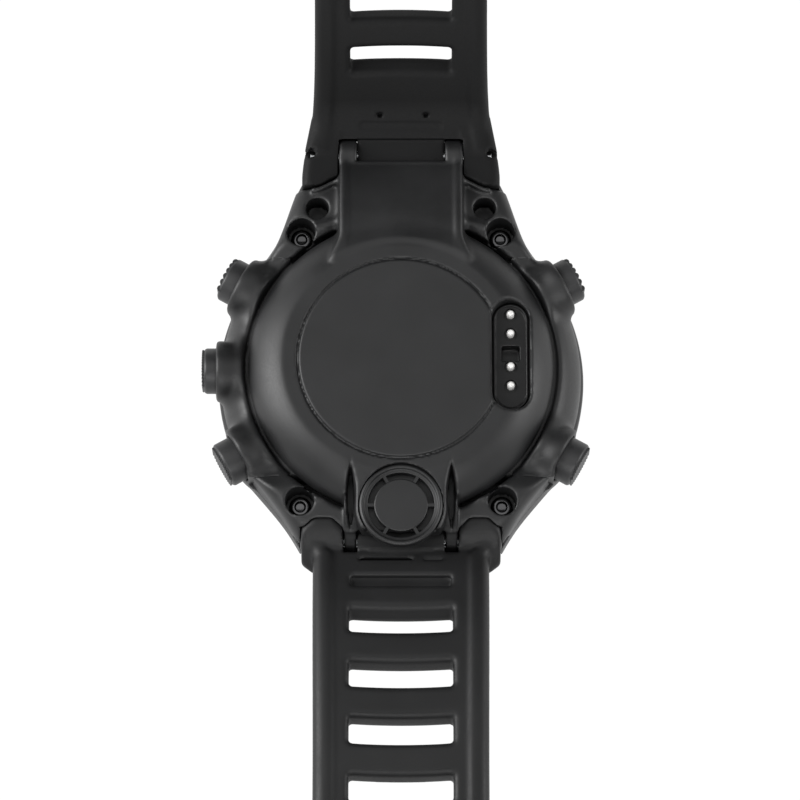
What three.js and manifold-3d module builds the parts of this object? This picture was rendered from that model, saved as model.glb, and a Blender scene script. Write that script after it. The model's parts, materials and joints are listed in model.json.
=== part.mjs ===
// Wrist dive computer, lying on its crystal with both straps attached.
// Millimetres. +Z points out of the case back, +Y to 12 o'clock and +X to 9 o'clock, which is on
// the right when the back is seen. The origin is the centre of the crystal's outer face.
import * as THREE from "three";
import { mergeVertices } from "three/addons/utils/BufferGeometryUtils.js";
import Module from "manifold-3d";

const wasm = await Module();
wasm.setup();

// ---- driving dimensions ------------------------------------------------------------------------
const ROUND = 36; // sides of the case's large circles
const INNER = 24; // sides of rings and discs inside the case
const SMALL = 12; // sides of buttons, screws and pins
const TINY = 8; // sides of charging contacts
const GAP = 0.1; // fixed pieces that face each other
const PLAY = 0.3; // between pieces that turn past each other

const BEZEL_R = 25; // widest point of the case
const BEZEL_TOP = 5.7; // bezel height above the crystal plane
const CAVITY_R = 18.4; // round hollow of the middle case
const FLANK_R = 24.6; // middle case beside the bezel
const SPLIT_R = 21.2; // edge of the rear cover's dome
const SPLIT_Z = 12.3; // top of the middle case wall
const PAD_Z = 8.3; // top of the lugs, under the rear cover's corner pads
const PAD_TOP = 13.2; // top of the corner pads
const BACK_Z = 17; // flat disc that meets the wrist
const DISC_R = 13.75; // radius of that disc
const CEILING_Z = 14.9; // inner face of the rear cover

const TOP_PIN = { y: 30.2, z: 11.5, half: 12.4 }; // spring bar at 12 o'clock
const LOW_PIN = { y: -23.6, z: 9, half: 9.4 }; // spring bar at 6 o'clock
const PIN_R = 0.75;
const TONGUE_HALF = 8.4; // rear cover's tongue at 12 o'clock
const NOTCH_HALF = 6.1; // notch between the tongue's two ears
const EAR_IN = 6.0; // ears at 6 o'clock, inner face
const EAR_OUT = 7.6; // and outer face

const SCREW = { x: 13.6, y: 18.9, well: 1.8, headR: 1.6, seatZ: 9, shankR: 0.8, tipZ: 6.3 };
const BLIND_HOLE = { x: 11.4, y: 22.3, r: 1.6, floorZ: 9.6 };

const PORT = { x: 14.8, y: 0.6, width: 5.1, length: 15.3, plateTop: 14.75, floorZ: 13.8 };
const CONTACT_YS = [6, 3.3, -1.3, -4]; // contacts along the port, from its middle
const CONTACT_R = 0.5;
const LATCH = { y: 1, width: 2.5, height: 2.1 }; // latch hole between the second and third contact

const SENSOR = { y: -20.3, cupR: 6, coverR: 5.05, slotR: 4.45, plateR: 3.6, topZ: 16.4 };

const BUTTON_Z = 10;
const BUTTONS = [
  { name: "upper_right", angle: 29, face: 27.4 },
  { name: "lower_right", angle: -29, face: 27.8 },
  { name: "upper_left", angle: 151, face: 27.4 },
  { name: "middle_left", angle: 180, face: 27 },
  { name: "lower_left", angle: 209, face: 27.8 },
];
const BUTTON_HEAD_R = 3.1;
const STEM_R = 0.9;
const TUBE_R = 1.4; // button guard's tube through the case wall
const GUARD_IN = 21.75; // inner end of a button guard, from the case's axis
const GUARD_OUT = 25;

const STRAP_T = 3.4;
const STRAP_HALF = 12; // half of the 24 mm strap width
const UPPER_HALF = 11.5; // the upper strap narrows to this
const SLOT = { width: 13.8, length: 3.8, pitch: 7.7, corner: 0.9 };
// Each run of a strap's centre line is [length, turn in degrees].
const UPPER_RUNS = [[8, 44], [6, -3], [8, -9], [22, -20], [22, -14], [6, -4], [17, 0]];
const UPPER_START = { y: 31, z: 11.7, heading: 6 };
const UPPER_SLOTS = { first: 13.8, count: 6 };
const LOWER_RUNS = [[12, -6], [20, -14], [40, -14], [21.4, 0], [28, 14], [6.6, 0]];
const LOWER_START = { y: 23.6, z: 9.3, heading: 20 };
const LOWER_SLOTS = { first: 12.4, count: 13 };
const TAIL_SPACE = 4.3; // room in the keepers for the long strap's tail
const KEEPER = { wall: 1.5, length: 5 };
const BUCKLE = { barR: 0.9, armIn: 12.1, armOut: 14.6, reach: 14, thick: 2.6, tongueHalf: 5.5 };

const rad = THREE.MathUtils.degToRad;

// ---- solids ------------------------------------------------------------------------------------
// Turns a closed geometry into a solid, with its faces pointing out.
function solid(geometry) {
  const bare = geometry.clone();
  bare.deleteAttribute("normal");
  bare.deleteAttribute("uv");
  const merged = mergeVertices(bare, 1e-4);
  const at = merged.attributes.position.array;
  const tris = Uint32Array.from(merged.index.array);
  let volume = 0;
  for (let i = 0; i < tris.length; i += 3) {
    const [a, b, c] = [tris[i] * 3, tris[i + 1] * 3, tris[i + 2] * 3];
    volume += at[a] * (at[b + 1] * at[c + 2] - at[b + 2] * at[c + 1]);
    volume += at[a + 1] * (at[b + 2] * at[c] - at[b] * at[c + 2]);
    volume += at[a + 2] * (at[b] * at[c + 1] - at[b + 1] * at[c]);
  }
  if (volume < 0) {
    for (let i = 0; i < tris.length; i += 3) {
      [tris[i + 1], tris[i + 2]] = [tris[i + 2], tris[i + 1]];
    }
  }
  const flat = new wasm.Mesh({ numProp: 3, vertProperties: Float32Array.from(at), triVerts: tris });
  return new wasm.Manifold(flat);
}

function geometryOf(manifold) {
  const mesh = manifold.getMesh();
  const points = new Float32Array((mesh.vertProperties.length / mesh.numProp) * 3);
  for (let i = 0; i < points.length / 3; i += 1) {
    for (let k = 0; k < 3; k += 1) points[i * 3 + k] = mesh.vertProperties[i * mesh.numProp + k];
  }
  const geometry = new THREE.BufferGeometry();
  geometry.setAttribute("position", new THREE.BufferAttribute(points, 3));
  geometry.setIndex(new THREE.BufferAttribute(Uint32Array.from(mesh.triVerts), 1));
  geometry.computeVertexNormals();
  return geometry;
}

const union = (first, ...rest) => rest.reduce((sum, next) => sum.add(next), first);
const cut = (first, ...rest) => rest.reduce((left, next) => left.subtract(next), first);

// Round solid about Z. points are [radius, z].
function turned(points, sides = ROUND) {
  const profile = points.map(([r, z]) => new THREE.Vector2(r, z));
  return solid(new THREE.LatheGeometry(profile, sides).rotateX(Math.PI / 2));
}

// Round solid about X. points are [x, radius].
function turnedX(points, sides = SMALL) {
  const profile = points.map(([x, r]) => new THREE.Vector2(r, x));
  return solid(new THREE.LatheGeometry(profile, sides).rotateZ(-Math.PI / 2));
}

const ring = (rIn, rOut, z0, z1, sides = ROUND) =>
  turned([[rIn, z0], [rOut, z0], [rOut, z1], [rIn, z1], [rIn, z0]], sides);

const disc = (r, z0, z1, sides = ROUND) => turned([[0, z0], [r, z0], [r, z1], [0, z1]], sides);

const rod = (r, x0, x1, sides = SMALL) => turnedX([[x0, 0], [x0, r], [x1, r], [x1, 0]], sides);

function block(x0, x1, y0, y1, z0, z1) {
  const box = new THREE.BoxGeometry(x1 - x0, y1 - y0, z1 - z0);
  return solid(box.translate((x0 + x1) / 2, (y0 + y1) / 2, (z0 + z1) / 2));
}

// Upright solid with an outline in XY.
function prism(shape, z0, z1, curve = 5) {
  const options = { depth: z1 - z0, bevelEnabled: false, curveSegments: curve };
  return solid(new THREE.ExtrudeGeometry(shape, options).translate(0, 0, z0));
}

// Solid with an outline in YZ, from x0 to x1.
function slab(shape, x0, x1, curve = 5) {
  const options = { depth: x1 - x0, bevelEnabled: false, curveSegments: curve };
  const toSide = new THREE.Matrix4().makeBasis(
    new THREE.Vector3(0, 1, 0),
    new THREE.Vector3(0, 0, 1),
    new THREE.Vector3(1, 0, 0),
  );
  return solid(new THREE.ExtrudeGeometry(shape, options).applyMatrix4(toSide).translate(x0, 0, 0));
}

const polygon = (points) => new THREE.Shape(points.map(([x, y]) => new THREE.Vector2(x, y)));

// Closed outline with the same points on both sides of the Y axis. points are [half width, y].
function mirrored(points) {
  const left = points.map(([half, y]) => [-half, y]).reverse();
  return polygon([...points, ...left]);
}

function roundedRect(width, height, corner) {
  const shape = new THREE.Shape();
  const [w, h] = [width / 2 - corner, height / 2 - corner];
  shape.absarc(w, h, corner, 0, rad(90));
  shape.absarc(-w, h, corner, rad(90), rad(180));
  shape.absarc(-w, -h, corner, rad(180), rad(270));
  shape.absarc(w, -h, corner, rad(270), rad(360));
  return shape;
}

const stadium = (width, length) => roundedRect(width, length, width / 2 - 0.01);
const moved = (manifold, x, y, z = 0) => manifold.translate([x, y, z]);
const bothSides = (manifold) => manifold.add(manifold.mirror([1, 0, 0]));

// ---- the exported group ------------------------------------------------------------------------
const model = new THREE.Group();
const finishes = {
  shell: { color: 0x1b1c1e, roughness: 0.62, metalness: 0 },
  bezel: { color: 0x1d1e20, roughness: 0.4, metalness: 0.7 },
  rubber: { color: 0x17181a, roughness: 0.8, metalness: 0 },
  seal: { color: 0x0e0e0f, roughness: 0.85, metalness: 0 },
  glass: { color: 0x9fb0b8, roughness: 0.05, metalness: 0 },
  button: { color: 0x1a1a1c, roughness: 0.5, metalness: 0.2 },
  steel: { color: 0xb8bcc0, roughness: 0.25, metalness: 1 },
  dark_steel: { color: 0x2a2b2d, roughness: 0.35, metalness: 0.8 },
  contact: { color: 0xdadcd8, roughness: 0.2, metalness: 1 },
  board: { color: 0x1f4a33, roughness: 0.6, metalness: 0 },
  display: { color: 0x0b0f12, roughness: 0.15, metalness: 0 },
  cell: { color: 0x9a9ea3, roughness: 0.5, metalness: 0.3 },
};

function piece(name, finish, manifold, parent = model) {
  const mesh = new THREE.Mesh(geometryOf(manifold), new THREE.MeshStandardMaterial(finishes[finish]));
  mesh.name = name;
  parent.add(mesh);
  return mesh;
}

// ---- strap paths -------------------------------------------------------------------------------
// Centre line of a strap in the YZ plane: arcs of [length, turn in degrees] one after the other.
function strapPath(start, runs, sign) {
  const stations = [{ s: 0, y: start.y, z: start.z, h: rad(start.heading) }];
  for (const [length, turn] of runs) {
    const steps = Math.max(1, Math.round(Math.abs(turn) / 5));
    for (let i = 0; i < steps; i += 1) {
      const last = stations[stations.length - 1];
      const step = length / steps;
      const mid = last.h + rad(turn) / steps / 2;
      stations.push({
        s: last.s + step,
        y: last.y + step * Math.cos(mid),
        z: last.z + step * Math.sin(mid),
        h: last.h + rad(turn) / steps,
      });
    }
  }
  const at = (s) => {
    const i = Math.max(1, stations.findIndex((p) => p.s >= s - 1e-9));
    const [a, b] = [stations[i - 1], stations[i]];
    const t = (s - a.s) / (b.s - a.s);
    const mix = (key) => a[key] + (b[key] - a[key]) * t;
    return { y: sign * mix("y"), z: mix("z"), h: mix("h") };
  };
  return { stations, at, length: stations[stations.length - 1].s, sign };
}

// Strap outline in YZ: the path with half the thickness on each side.
function strapOutline(path) {
  const side = (face) =>
    path.stations.map(({ y, z, h }) => [
      path.sign * (y - (Math.sin(h) * STRAP_T * face) / 2),
      z + (Math.cos(h) * STRAP_T * face) / 2,
    ]);
  return polygon([...side(1), ...side(-1).reverse()]);
}

// Cutter for one slot, square to the strap at distance s along it.
function slotCutter(path, s) {
  const { y, z, h } = path.at(s);
  const shape = roundedRect(SLOT.width, SLOT.length, SLOT.corner);
  const tool = prism(shape, -STRAP_T, STRAP_T, 1);
  return tool.rotate([(path.sign * h * 180) / Math.PI, 0, 0]).translate([0, y, z]);
}

const upperPath = strapPath(UPPER_START, UPPER_RUNS, 1);
const lowerPath = strapPath(LOWER_START, LOWER_RUNS, -1);

// ---- bezel, crystal and display ----------------------------------------------------------------
const CRYSTAL_R = 19.1;
const LEDGE_R = 17.6;
const LEDGE_Z = 2.2;
piece("bezel", "bezel", turned([
  [CRYSTAL_R + GAP, 0], [23.2, 0], [24.4, 1.1], [BEZEL_R, 2.6], [BEZEL_R, 5], [24.5, BEZEL_TOP],
  [CAVITY_R, BEZEL_TOP], [CAVITY_R, 3.1], [LEDGE_R, 3.1], [LEDGE_R, LEDGE_Z],
  [CRYSTAL_R + GAP, LEDGE_Z], [CRYSTAL_R + GAP, 0],
]));
const crystalEdge = [[0, 0], [18.8, 0], [CRYSTAL_R, 0.3], [CRYSTAL_R, 1.6], [0, 1.6]];
piece("crystal", "glass", turned(crystalEdge));
piece("crystal_gasket", "seal", ring(17.8, 18.9, 1.65, 2.15, INNER));
piece("dial_ring", "shell", ring(16.2, CAVITY_R - GAP, 3.2, 4.3, INNER));
const window = prism(roundedRect(22, 22, 2), 4, 7, 3);
piece("display_module", "display", disc(15.9, 3.3, 4.6, INNER));
piece("display_carrier", "shell", cut(disc(CAVITY_R - GAP, 4.8, 6.1, INNER), window));

// ---- middle case -------------------------------------------------------------------------------
// Half outline of the lugs, from the round case out to the strap.
const topLug = [[18.4, 14], [17.3, 18.3], [15.7, 21.2], [14.2, 24.2], [13.3, 26.6]];
const lowLug = [[17.6, -16.4], [16.4, -19.8], [14.2, -23.6], [12.6, -26.6], [11.4, -27.4]];

// Space that the root of a strap turns in, about its spring bar.
const topLobe = (play) => [
  [-13.4 - play, 0], [-13.4 - play, 4.4 + play], [-12.2, 5.1 + play], [-8.7 + play, 4.4 + play],
  [-8.7 + play, 0],
];
const lowLobe = (play) => [
  [-13.4 - play, 0], [-13.4 - play, 1.6 + play], [-12.6 - play, 2.7 + play], [-11, 3.2 + play],
  [-7.9 + play, 3.2 + play], [-7.9 + play, 0],
];
const atTopPin = (manifold) => moved(manifold, 0, TOP_PIN.y, TOP_PIN.z);
const atLowPin = (manifold) => moved(manifold, 0, LOW_PIN.y, LOW_PIN.z);
const topSeat = bothSides(atTopPin(turnedX(topLobe(PLAY))));
const lowSeat = bothSides(atLowPin(turnedX(lowLobe(PLAY))));
const lowTrough = atLowPin(rod(2.9, -9, 9));
const lowSweep = block(-14, 14, -30, LOW_PIN.y, 5.5, 20);

// Corner regions where the rear cover's pads stand on the lugs.
function cornerRegion(innerR, inset, z0, z1) {
  const outside = cut(disc(32, z0, z1), disc(innerR, z0 - 1, z1 + 1));
  const middle = block(-40, 40, -15.2 + inset, 15.2 - inset, z0 - 1, z1 + 1);
  return outside.subtract(middle);
}

// One button's cutter in the case: spot face for the guard and bore for its tube.
function buttonCutter({ angle }) {
  const tool = union(rod(4.3, GUARD_IN - GAP, 28), rod(TUBE_R + GAP, 16, GUARD_IN + 1));
  return tool.translate([0, 0, BUTTON_Z]).rotate([0, 0, angle]);
}

const screwSpots = [[1, 1], [-1, 1], [-1, -1], [1, -1]].map(([i, j]) => [i * SCREW.x, j * SCREW.y]);
const gasketGroove = ring(18.8, 20, SPLIT_Z - 0.6, SPLIT_Z + 1);
const midShell = union(
  turned([
    [CAVITY_R, BEZEL_TOP + GAP], [FLANK_R, BEZEL_TOP + GAP], [24.5, 6.6], [24.1, 8.4],
    [23.4, 10.1], [22.5, 11.4], [SPLIT_R + 0.5, SPLIT_Z], [CAVITY_R, SPLIT_Z],
    [CAVITY_R, BEZEL_TOP + GAP],
  ]),
  cut(
    union(
      prism(mirrored([[17, 10], ...topLug]), 4, PAD_Z),
      prism(mirrored([...lowLug].reverse().concat([[17, -10]])), 3.4, PAD_Z),
    ),
    disc(BEZEL_R + GAP, -1, BEZEL_TOP + GAP),
    disc(CAVITY_R, -1, 20),
  ),
);
const midCase = cut(
  midShell,
  cornerRegion(20.5, 0.3, PAD_Z, 20),
  topSeat,
  lowSeat,
  lowTrough,
  lowSweep,
  gasketGroove,
  ...BUTTONS.map(buttonCutter),
  ...screwSpots.map(([x, y]) => moved(disc(0.9, 6.1, 9, SMALL), x, y)),
);
piece("middle_case", "shell", midCase);
piece("case_gasket", "seal", ring(18.9, 19.9, SPLIT_Z - 0.55, SPLIT_Z + 0.05));

// ---- rear cover --------------------------------------------------------------------------------
const dome = turned([
  [0, CEILING_Z], [17, CEILING_Z], [CAVITY_R, 13.4], [CAVITY_R, SPLIT_Z + GAP],
  [SPLIT_R, SPLIT_Z + GAP], [21.1, 13.1], [20.5, 14.5], [19.5, 15.7], [18, 16.5], [15.8, 16.85],
  [DISC_R + 0.3, 16.85], [DISC_R, BACK_Z], [0, BACK_Z],
]);

function tongueShape() {
  const ear = 1.8;
  const shape = new THREE.Shape();
  shape.moveTo(12, CEILING_Z + 0.5);
  shape.lineTo(12, 16.85);
  shape.lineTo(15.5, 16.8);
  shape.quadraticCurveTo(21, 16.5, 25, 15);
  shape.lineTo(TOP_PIN.y - 0.4, TOP_PIN.z + ear);
  shape.absarc(TOP_PIN.y, TOP_PIN.z, ear, rad(90), rad(-90), true);
  shape.lineTo(26, TOP_PIN.z - 2.4);
  shape.lineTo(24.5, PAD_Z + 0.3);
  shape.lineTo(20.9, PAD_Z + 0.3);
  shape.lineTo(20.9, SPLIT_Z + GAP);
  return shape;
}

function earShape() {
  const ear = 1.7;
  const shape = new THREE.Shape();
  shape.moveTo(-17, 13);
  shape.lineTo(-20.2, 12.7);
  shape.lineTo(LOW_PIN.y + ear, LOW_PIN.z + 0.6);
  shape.absarc(LOW_PIN.y, LOW_PIN.z, ear, rad(0), rad(-180), true);
  shape.lineTo(LOW_PIN.y - ear, LOW_PIN.z + 0.6);
  shape.lineTo(-23.2, 13.4);
  shape.lineTo(-22.4, 15);
  shape.lineTo(-17, 15);
  return shape;
}

const padOutline = prism(
  mirrored([...lowLug.slice(0, 3)].reverse().concat([[18.6, -12], [18.6, 12]], topLug)),
  PAD_Z + 0.3,
  PAD_TOP,
);
const pads = cut(
  padOutline.intersect(cornerRegion(20.8, 0, PAD_Z, 20)),
  block(-7.4, 7.4, -30, 0, 0, 20),
  block(-TONGUE_HALF, TONGUE_HALF, 0, 40, 0, 20),
);
// The pads reach in under the dome's edge, so that cover and pads are one moulding.
const padRoots = padOutline
  .intersect(cornerRegion(19, 0, SPLIT_Z + GAP, PAD_TOP + 1))
  .subtract(block(-7.4, 7.4, -30, 0, 0, 20));
const sensorCup = moved(turned([
  [0, 12.6], [4.4, 12.6], [SENSOR.cupR, 14.4], [SENSOR.cupR, SENSOR.topZ], [0, SENSOR.topZ],
], 24), 0, SENSOR.y);
const sensorBoss = block(-7.4, 7.4, -22.5, -13, 12.6, SENSOR.topZ);
const ears = bothSides(slab(earShape(), EAR_IN, EAR_OUT));
const portBoss = moved(prism(stadium(PORT.width + 2, PORT.length + 2), 13, 15.5), PORT.x, PORT.y);
const portOpening = moved(prism(stadium(PORT.width, PORT.length), PORT.floorZ, 20), PORT.x, PORT.y);
const latchHole = block(
  PORT.x - LATCH.width / 2, PORT.x + LATCH.width / 2,
  PORT.y + LATCH.y - LATCH.height / 2, PORT.y + LATCH.y + LATCH.height / 2,
  13.2, 20,
);
const contactHoles = CONTACT_YS.map((y) => moved(disc(CONTACT_R + 0.15, 12, 20, TINY), PORT.x, PORT.y + y));
const screwWells = screwSpots.flatMap(([x, y]) => [
  moved(disc(SCREW.well, SCREW.seatZ, 20, SMALL), x, y),
  moved(disc(SCREW.shankR + 0.15, 5, 10, SMALL), x, y),
]);
const blindHoles = [1, -1].map((i) =>
  moved(disc(BLIND_HOLE.r, BLIND_HOLE.floorZ, 20, SMALL), i * BLIND_HOLE.x, BLIND_HOLE.y));
const rearCover = cut(
  union(
    dome,
    slab(tongueShape(), -TONGUE_HALF, TONGUE_HALF),
    pads,
    padRoots,
    sensorBoss,
    sensorCup,
    ears,
    portBoss,
  ),
  disc(CAVITY_R - 0.01, 0, 13),
  topSeat,
  lowSeat,
  block(-NOTCH_HALF, NOTCH_HALF, TOP_PIN.y - 1.9, 40, 0, 20),
  moved(disc(SENSOR.coverR + GAP, 15.1, 20, 24), 0, SENSOR.y),
  moved(disc(4.3, 13.5, 20, 24), 0, SENSOR.y),
  portOpening,
  latchHole,
  ...contactHoles,
  ...screwWells,
  ...blindHoles,
  atTopPin(rod(PIN_R + 0.05, -20, 20)),
  atLowPin(rod(PIN_R + 0.05, -20, 20)),
);
piece("rear_cover", "shell", rearCover);

screwSpots.forEach(([x, y], i) => {
  const body = turned([
    [0, SCREW.tipZ], [0.5, SCREW.tipZ], [SCREW.shankR, SCREW.tipZ + 0.5],
    [SCREW.shankR, SCREW.seatZ + GAP], [SCREW.headR, SCREW.seatZ + GAP],
    [SCREW.headR, SCREW.seatZ + 0.7], [1.1, SCREW.seatZ + 1.1], [0, SCREW.seatZ + 1.1],
  ], SMALL);
  const socket = disc(0.75, SCREW.seatZ + 0.5, SCREW.seatZ + 2, 6);
  piece(`case_screw_${i + 1}`, "steel", moved(cut(body, socket), x, y));
});

// ---- charging port -----------------------------------------------------------------------------
const contactPlate = cut(
  moved(
    prism(stadium(PORT.width - 0.2, PORT.length - 0.2), PORT.floorZ + 0.05, PORT.plateTop),
    PORT.x,
    PORT.y,
  ),
  latchHole,
  ...contactHoles,
);
piece("contact_plate", "shell", contactPlate);
CONTACT_YS.forEach((y, i) => {
  const pin = turned([
    [0, 12.4], [0.85, 12.4], [0.85, 12.9], [CONTACT_R, 12.9], [CONTACT_R, 15.3], [0.3, 15.6],
    [0, 15.6],
  ], TINY);
  piece(`charging_contact_${i + 1}`, "contact", moved(pin, PORT.x, PORT.y + y));
});

// ---- depth sensor ------------------------------------------------------------------------------
const RIBS = 6;
const ribWidth = 0.5;
let sensorCover = union(
  ring(SENSOR.slotR, SENSOR.coverR, 15.15, SENSOR.topZ - 0.1, 24),
  disc(SENSOR.plateR, 15.35, SENSOR.topZ - 0.1, 24),
);
for (let i = 0; i < RIBS / 2; i += 1) {
  const rib = block(-4.7, 4.7, -ribWidth / 2, ribWidth / 2, 15.35, SENSOR.topZ - 0.25);
  sensorCover = sensorCover.add(rib.rotate([0, 0, (360 / RIBS) * i]));
}
piece("sensor_cover", "shell", moved(sensorCover, 0, SENSOR.y));
piece("pressure_sensor", "steel", moved(turned([
  [0, 13.55], [3.3, 13.55], [3.3, 14.2], [1.7, 14.2], [1.7, 14.6], [0, 14.6],
], SMALL), 0, SENSOR.y));
piece("sensor_seal", "seal", moved(ring(3.4, 4.2, 13.55, 14.3, SMALL), 0, SENSOR.y));

// ---- electronics inside the case ---------------------------------------------------------------
const boardNotch = block(-4, 4, 15.5, 20, 6, 8);
const boardNotches = [0, 90, 180, 270].map((turn) => boardNotch.rotate([0, 0, turn + 45]));
piece("circuit_board", "board", cut(disc(17.6, 6.4, 7.4, INNER), ...boardNotches));
piece("battery", "cell", prism(roundedRect(24, 21, 3), 7.7, 11.6, 3));
piece("vibration_motor", "steel", moved(rod(2, -4.5, 4.5, 16), 0, 13.9, 9.7));
piece("sounder_disc", "contact", moved(disc(5.5, 14.1, 14.7, 20), 0, 3));
const antennaSector = new THREE.Shape();
antennaSector.absarc(0, 0, 17.7, rad(-130), rad(-50), false);
antennaSector.absarc(0, 0, 16.9, rad(-50), rad(-130), true);
piece("antenna", "contact", prism(antennaSector, 7.8, 11.8, 10));

// ---- buttons -----------------------------------------------------------------------------------
// Everything here lies along local X, which points out of the case.
function springAlongX(x0, x1, radius, wire, turns) {
  class Helix extends THREE.Curve {
    getPoint(t, target = new THREE.Vector3()) {
      const a = t * turns * 2 * Math.PI;
      return target.set(x0 + (x1 - x0) * t, radius * Math.cos(a), radius * Math.sin(a));
    }
  }
  const section = new THREE.Shape();
  section.absarc(0, 0, wire / 2, 0, 2 * Math.PI);
  return solid(new THREE.ExtrudeGeometry(section, {
    steps: turns * 7,
    curveSegments: 2,
    bevelEnabled: false,
    extrudePath: new Helix(),
  }));
}

for (const { name, angle, face } of BUTTONS) {
  const post = new THREE.Group();
  post.rotation.z = rad(angle);
  post.position.z = BUTTON_Z;
  model.add(post);
  const guard = turnedX([
    [18.15, STEM_R + GAP], [18.15, TUBE_R], [GUARD_IN, TUBE_R], [GUARD_IN, 3.65], [24.3, 4],
    [GUARD_OUT, 3.8], [GUARD_OUT, 3.4], [23.3, 3.35], [23.3, 2.1], [21.9, 2.1],
    [21.9, STEM_R + GAP], [18.15, STEM_R + GAP],
  ]);
  piece(`button_guard_${name}`, "shell", guard, post);
  const button = turnedX([
    [17.3, 0], [17.3, STEM_R], [17.7, STEM_R], [17.7, 0.6], [18.1, 0.6], [18.1, STEM_R],
    [24.5, STEM_R], [24.5, BUTTON_HEAD_R], [face - 0.5, BUTTON_HEAD_R], [face, 2.6], [face, 0],
  ]);
  piece(`button_${name}`, "button", button, post);
  piece(`button_seal_${name}`, "seal", turnedX([
    [21.95, 1], [21.95, 1.95], [22.7, 1.95], [22.7, 1], [21.95, 1],
  ], TINY), post);
  piece(`button_spring_${name}`, "steel", springAlongX(22.95, 24.25, 1.6, 0.35, 3), post);
  piece(`button_clip_${name}`, "steel", turnedX([
    [17.75, 0.7], [17.75, 1.5], [18.05, 1.5], [18.05, 0.7], [17.75, 0.7],
  ], TINY), post);
}

// ---- spring bars -------------------------------------------------------------------------------
const springBar = ({ half }) => turnedX([
  [-half, 0], [-half, 0.45], [1 - half, 0.45], [1.2 - half, PIN_R], [half - 1.2, PIN_R],
  [half - 1, 0.45], [half, 0.45], [half, 0],
], 16);
piece("spring_bar_upper", "steel", atTopPin(springBar(TOP_PIN)));
piece("spring_bar_lower", "steel", atLowPin(springBar(LOW_PIN)));

// ---- straps ------------------------------------------------------------------------------------
// Trims a strap to its outline seen from above. points are [half width, y].
const plan = (points) => prism(mirrored(points), -20, 80, 12);

const barY = upperPath.at(upperPath.length).y + 1;
const barZ = upperPath.at(upperPath.length).z;
const atBar = (manifold) => moved(manifold, 0, barY, barZ);

const upperBody = union(
  slab(strapOutline(upperPath), -14, 14),
  bothSides(atTopPin(turnedX(topLobe(0)))).intersect(block(-14, 14, 20, 34, 0, TOP_PIN.z + 1.8)),
  slab(polygon([[29, 9.9], [34, 9.9], [34.5, 13.3], [29, 13.3]]), -14, 14)
    .subtract(block(-8.7, 8.7, 20, TOP_PIN.y, 0, 30)),
  atTopPin(rod(1.45, -5.8, 5.8)),
  atBar(rod(2.3, -UPPER_HALF, UPPER_HALF, 20)),
);
const tongueClear = union(
  atTopPin(rod(1.8 + PLAY, -8.7, -5.8)),
  atTopPin(rod(1.8 + PLAY, 5.8, 8.7)),
  block(-8.7, -5.8, 20, TOP_PIN.y, 0, 30),
  block(5.8, 8.7, 20, TOP_PIN.y, 0, 30),
  block(-5.9, 5.9, 20, TOP_PIN.y - 1.5, 0, 30),
  block(-5.9, 5.9, 20, TOP_PIN.y + 1, TOP_PIN.z + 1.5, 30),
);
const slotsAlong = (path, { first, count }) =>
  Array.from({ length: count }, (_, i) => slotCutter(path, first + i * SLOT.pitch));
const upperStrap = cut(
  upperBody.intersect(plan([
    [13.2, 24], [13.2, 28], [12.3, 33], [11.7, 40], [UPPER_HALF, 48], [UPPER_HALF, 140],
  ])),
  tongueClear,
  atTopPin(rod(PIN_R + 0.1, -14, 14)),
  atBar(rod(BUCKLE.barR + 0.1, -14, 14)),
  block(-5.8, 5.8, barY - 2.8, barY + 5, barZ - 5, barZ + 5),
  ...slotsAlong(upperPath, UPPER_SLOTS),
);
piece("upper_strap", "rubber", upperStrap);

const lowEnd = lowerPath.at(lowerPath.length).y;
const lowTip = [];
for (let a = 0; a <= 80; a += 10) {
  lowTip.push([STRAP_HALF * Math.cos(rad(a)), lowEnd + 10 - 10 * Math.sin(rad(a))]);
}
const lowerBody = union(
  slab(strapOutline(lowerPath), -14, 14)
    .subtract(block(-14, 14, -24.3, 0, 0, 30)),
  bothSides(atLowPin(turnedX(lowLobe(0)))),
  atLowPin(rod(2.4, -5.7, 5.7)),
);
const earClear = bothSides(union(
  atLowPin(rod(1.7 + PLAY, 5.7, 7.9)),
  block(5.7, 7.9, LOW_PIN.y, -15, 0, 30),
  block(5.7, 7.9, -25.6, LOW_PIN.y, LOW_PIN.z, 30),
));
const lowerStrap = cut(
  lowerBody.intersect(plan([
    ...lowTip.reverse(), [STRAP_HALF, -29], [12.6, -26.5], [13.4, -24.5], [13.4, -18],
  ])),
  earClear,
  atLowPin(rod(PIN_R + 0.1, -LOW_PIN.half - 0.3, LOW_PIN.half + 0.3)),
  ...slotsAlong(lowerPath, LOWER_SLOTS),
);
piece("lower_strap", "rubber", lowerStrap);

// ---- keepers -----------------------------------------------------------------------------------
function keeper(width, y0, length) {
  const half = width + PLAY;
  const top = barZ + STRAP_T / 2 + PLAY;
  const bottom = barZ - STRAP_T / 2 - TAIL_SPACE;
  const w = KEEPER.wall;
  const outer = roundedRect(2 * (half + w), top - bottom + 2 * w, 1.2);
  const inner = roundedRect(2 * half, top - bottom, 0.5);
  const stand = (shape, depth, start) =>
    prism(shape, 0, depth, 4).rotate([90, 0, 0]).translate([0, start + depth, (top + bottom) / 2]);
  return cut(stand(outer, length, y0), stand(inner, length + 2, y0 - 1));
}
piece("fixed_keeper", "rubber", keeper(UPPER_HALF, barY - 8.6, KEEPER.length));
piece("sliding_keeper", "rubber", keeper(UPPER_HALF, barY - 16.2, KEEPER.length));

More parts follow.
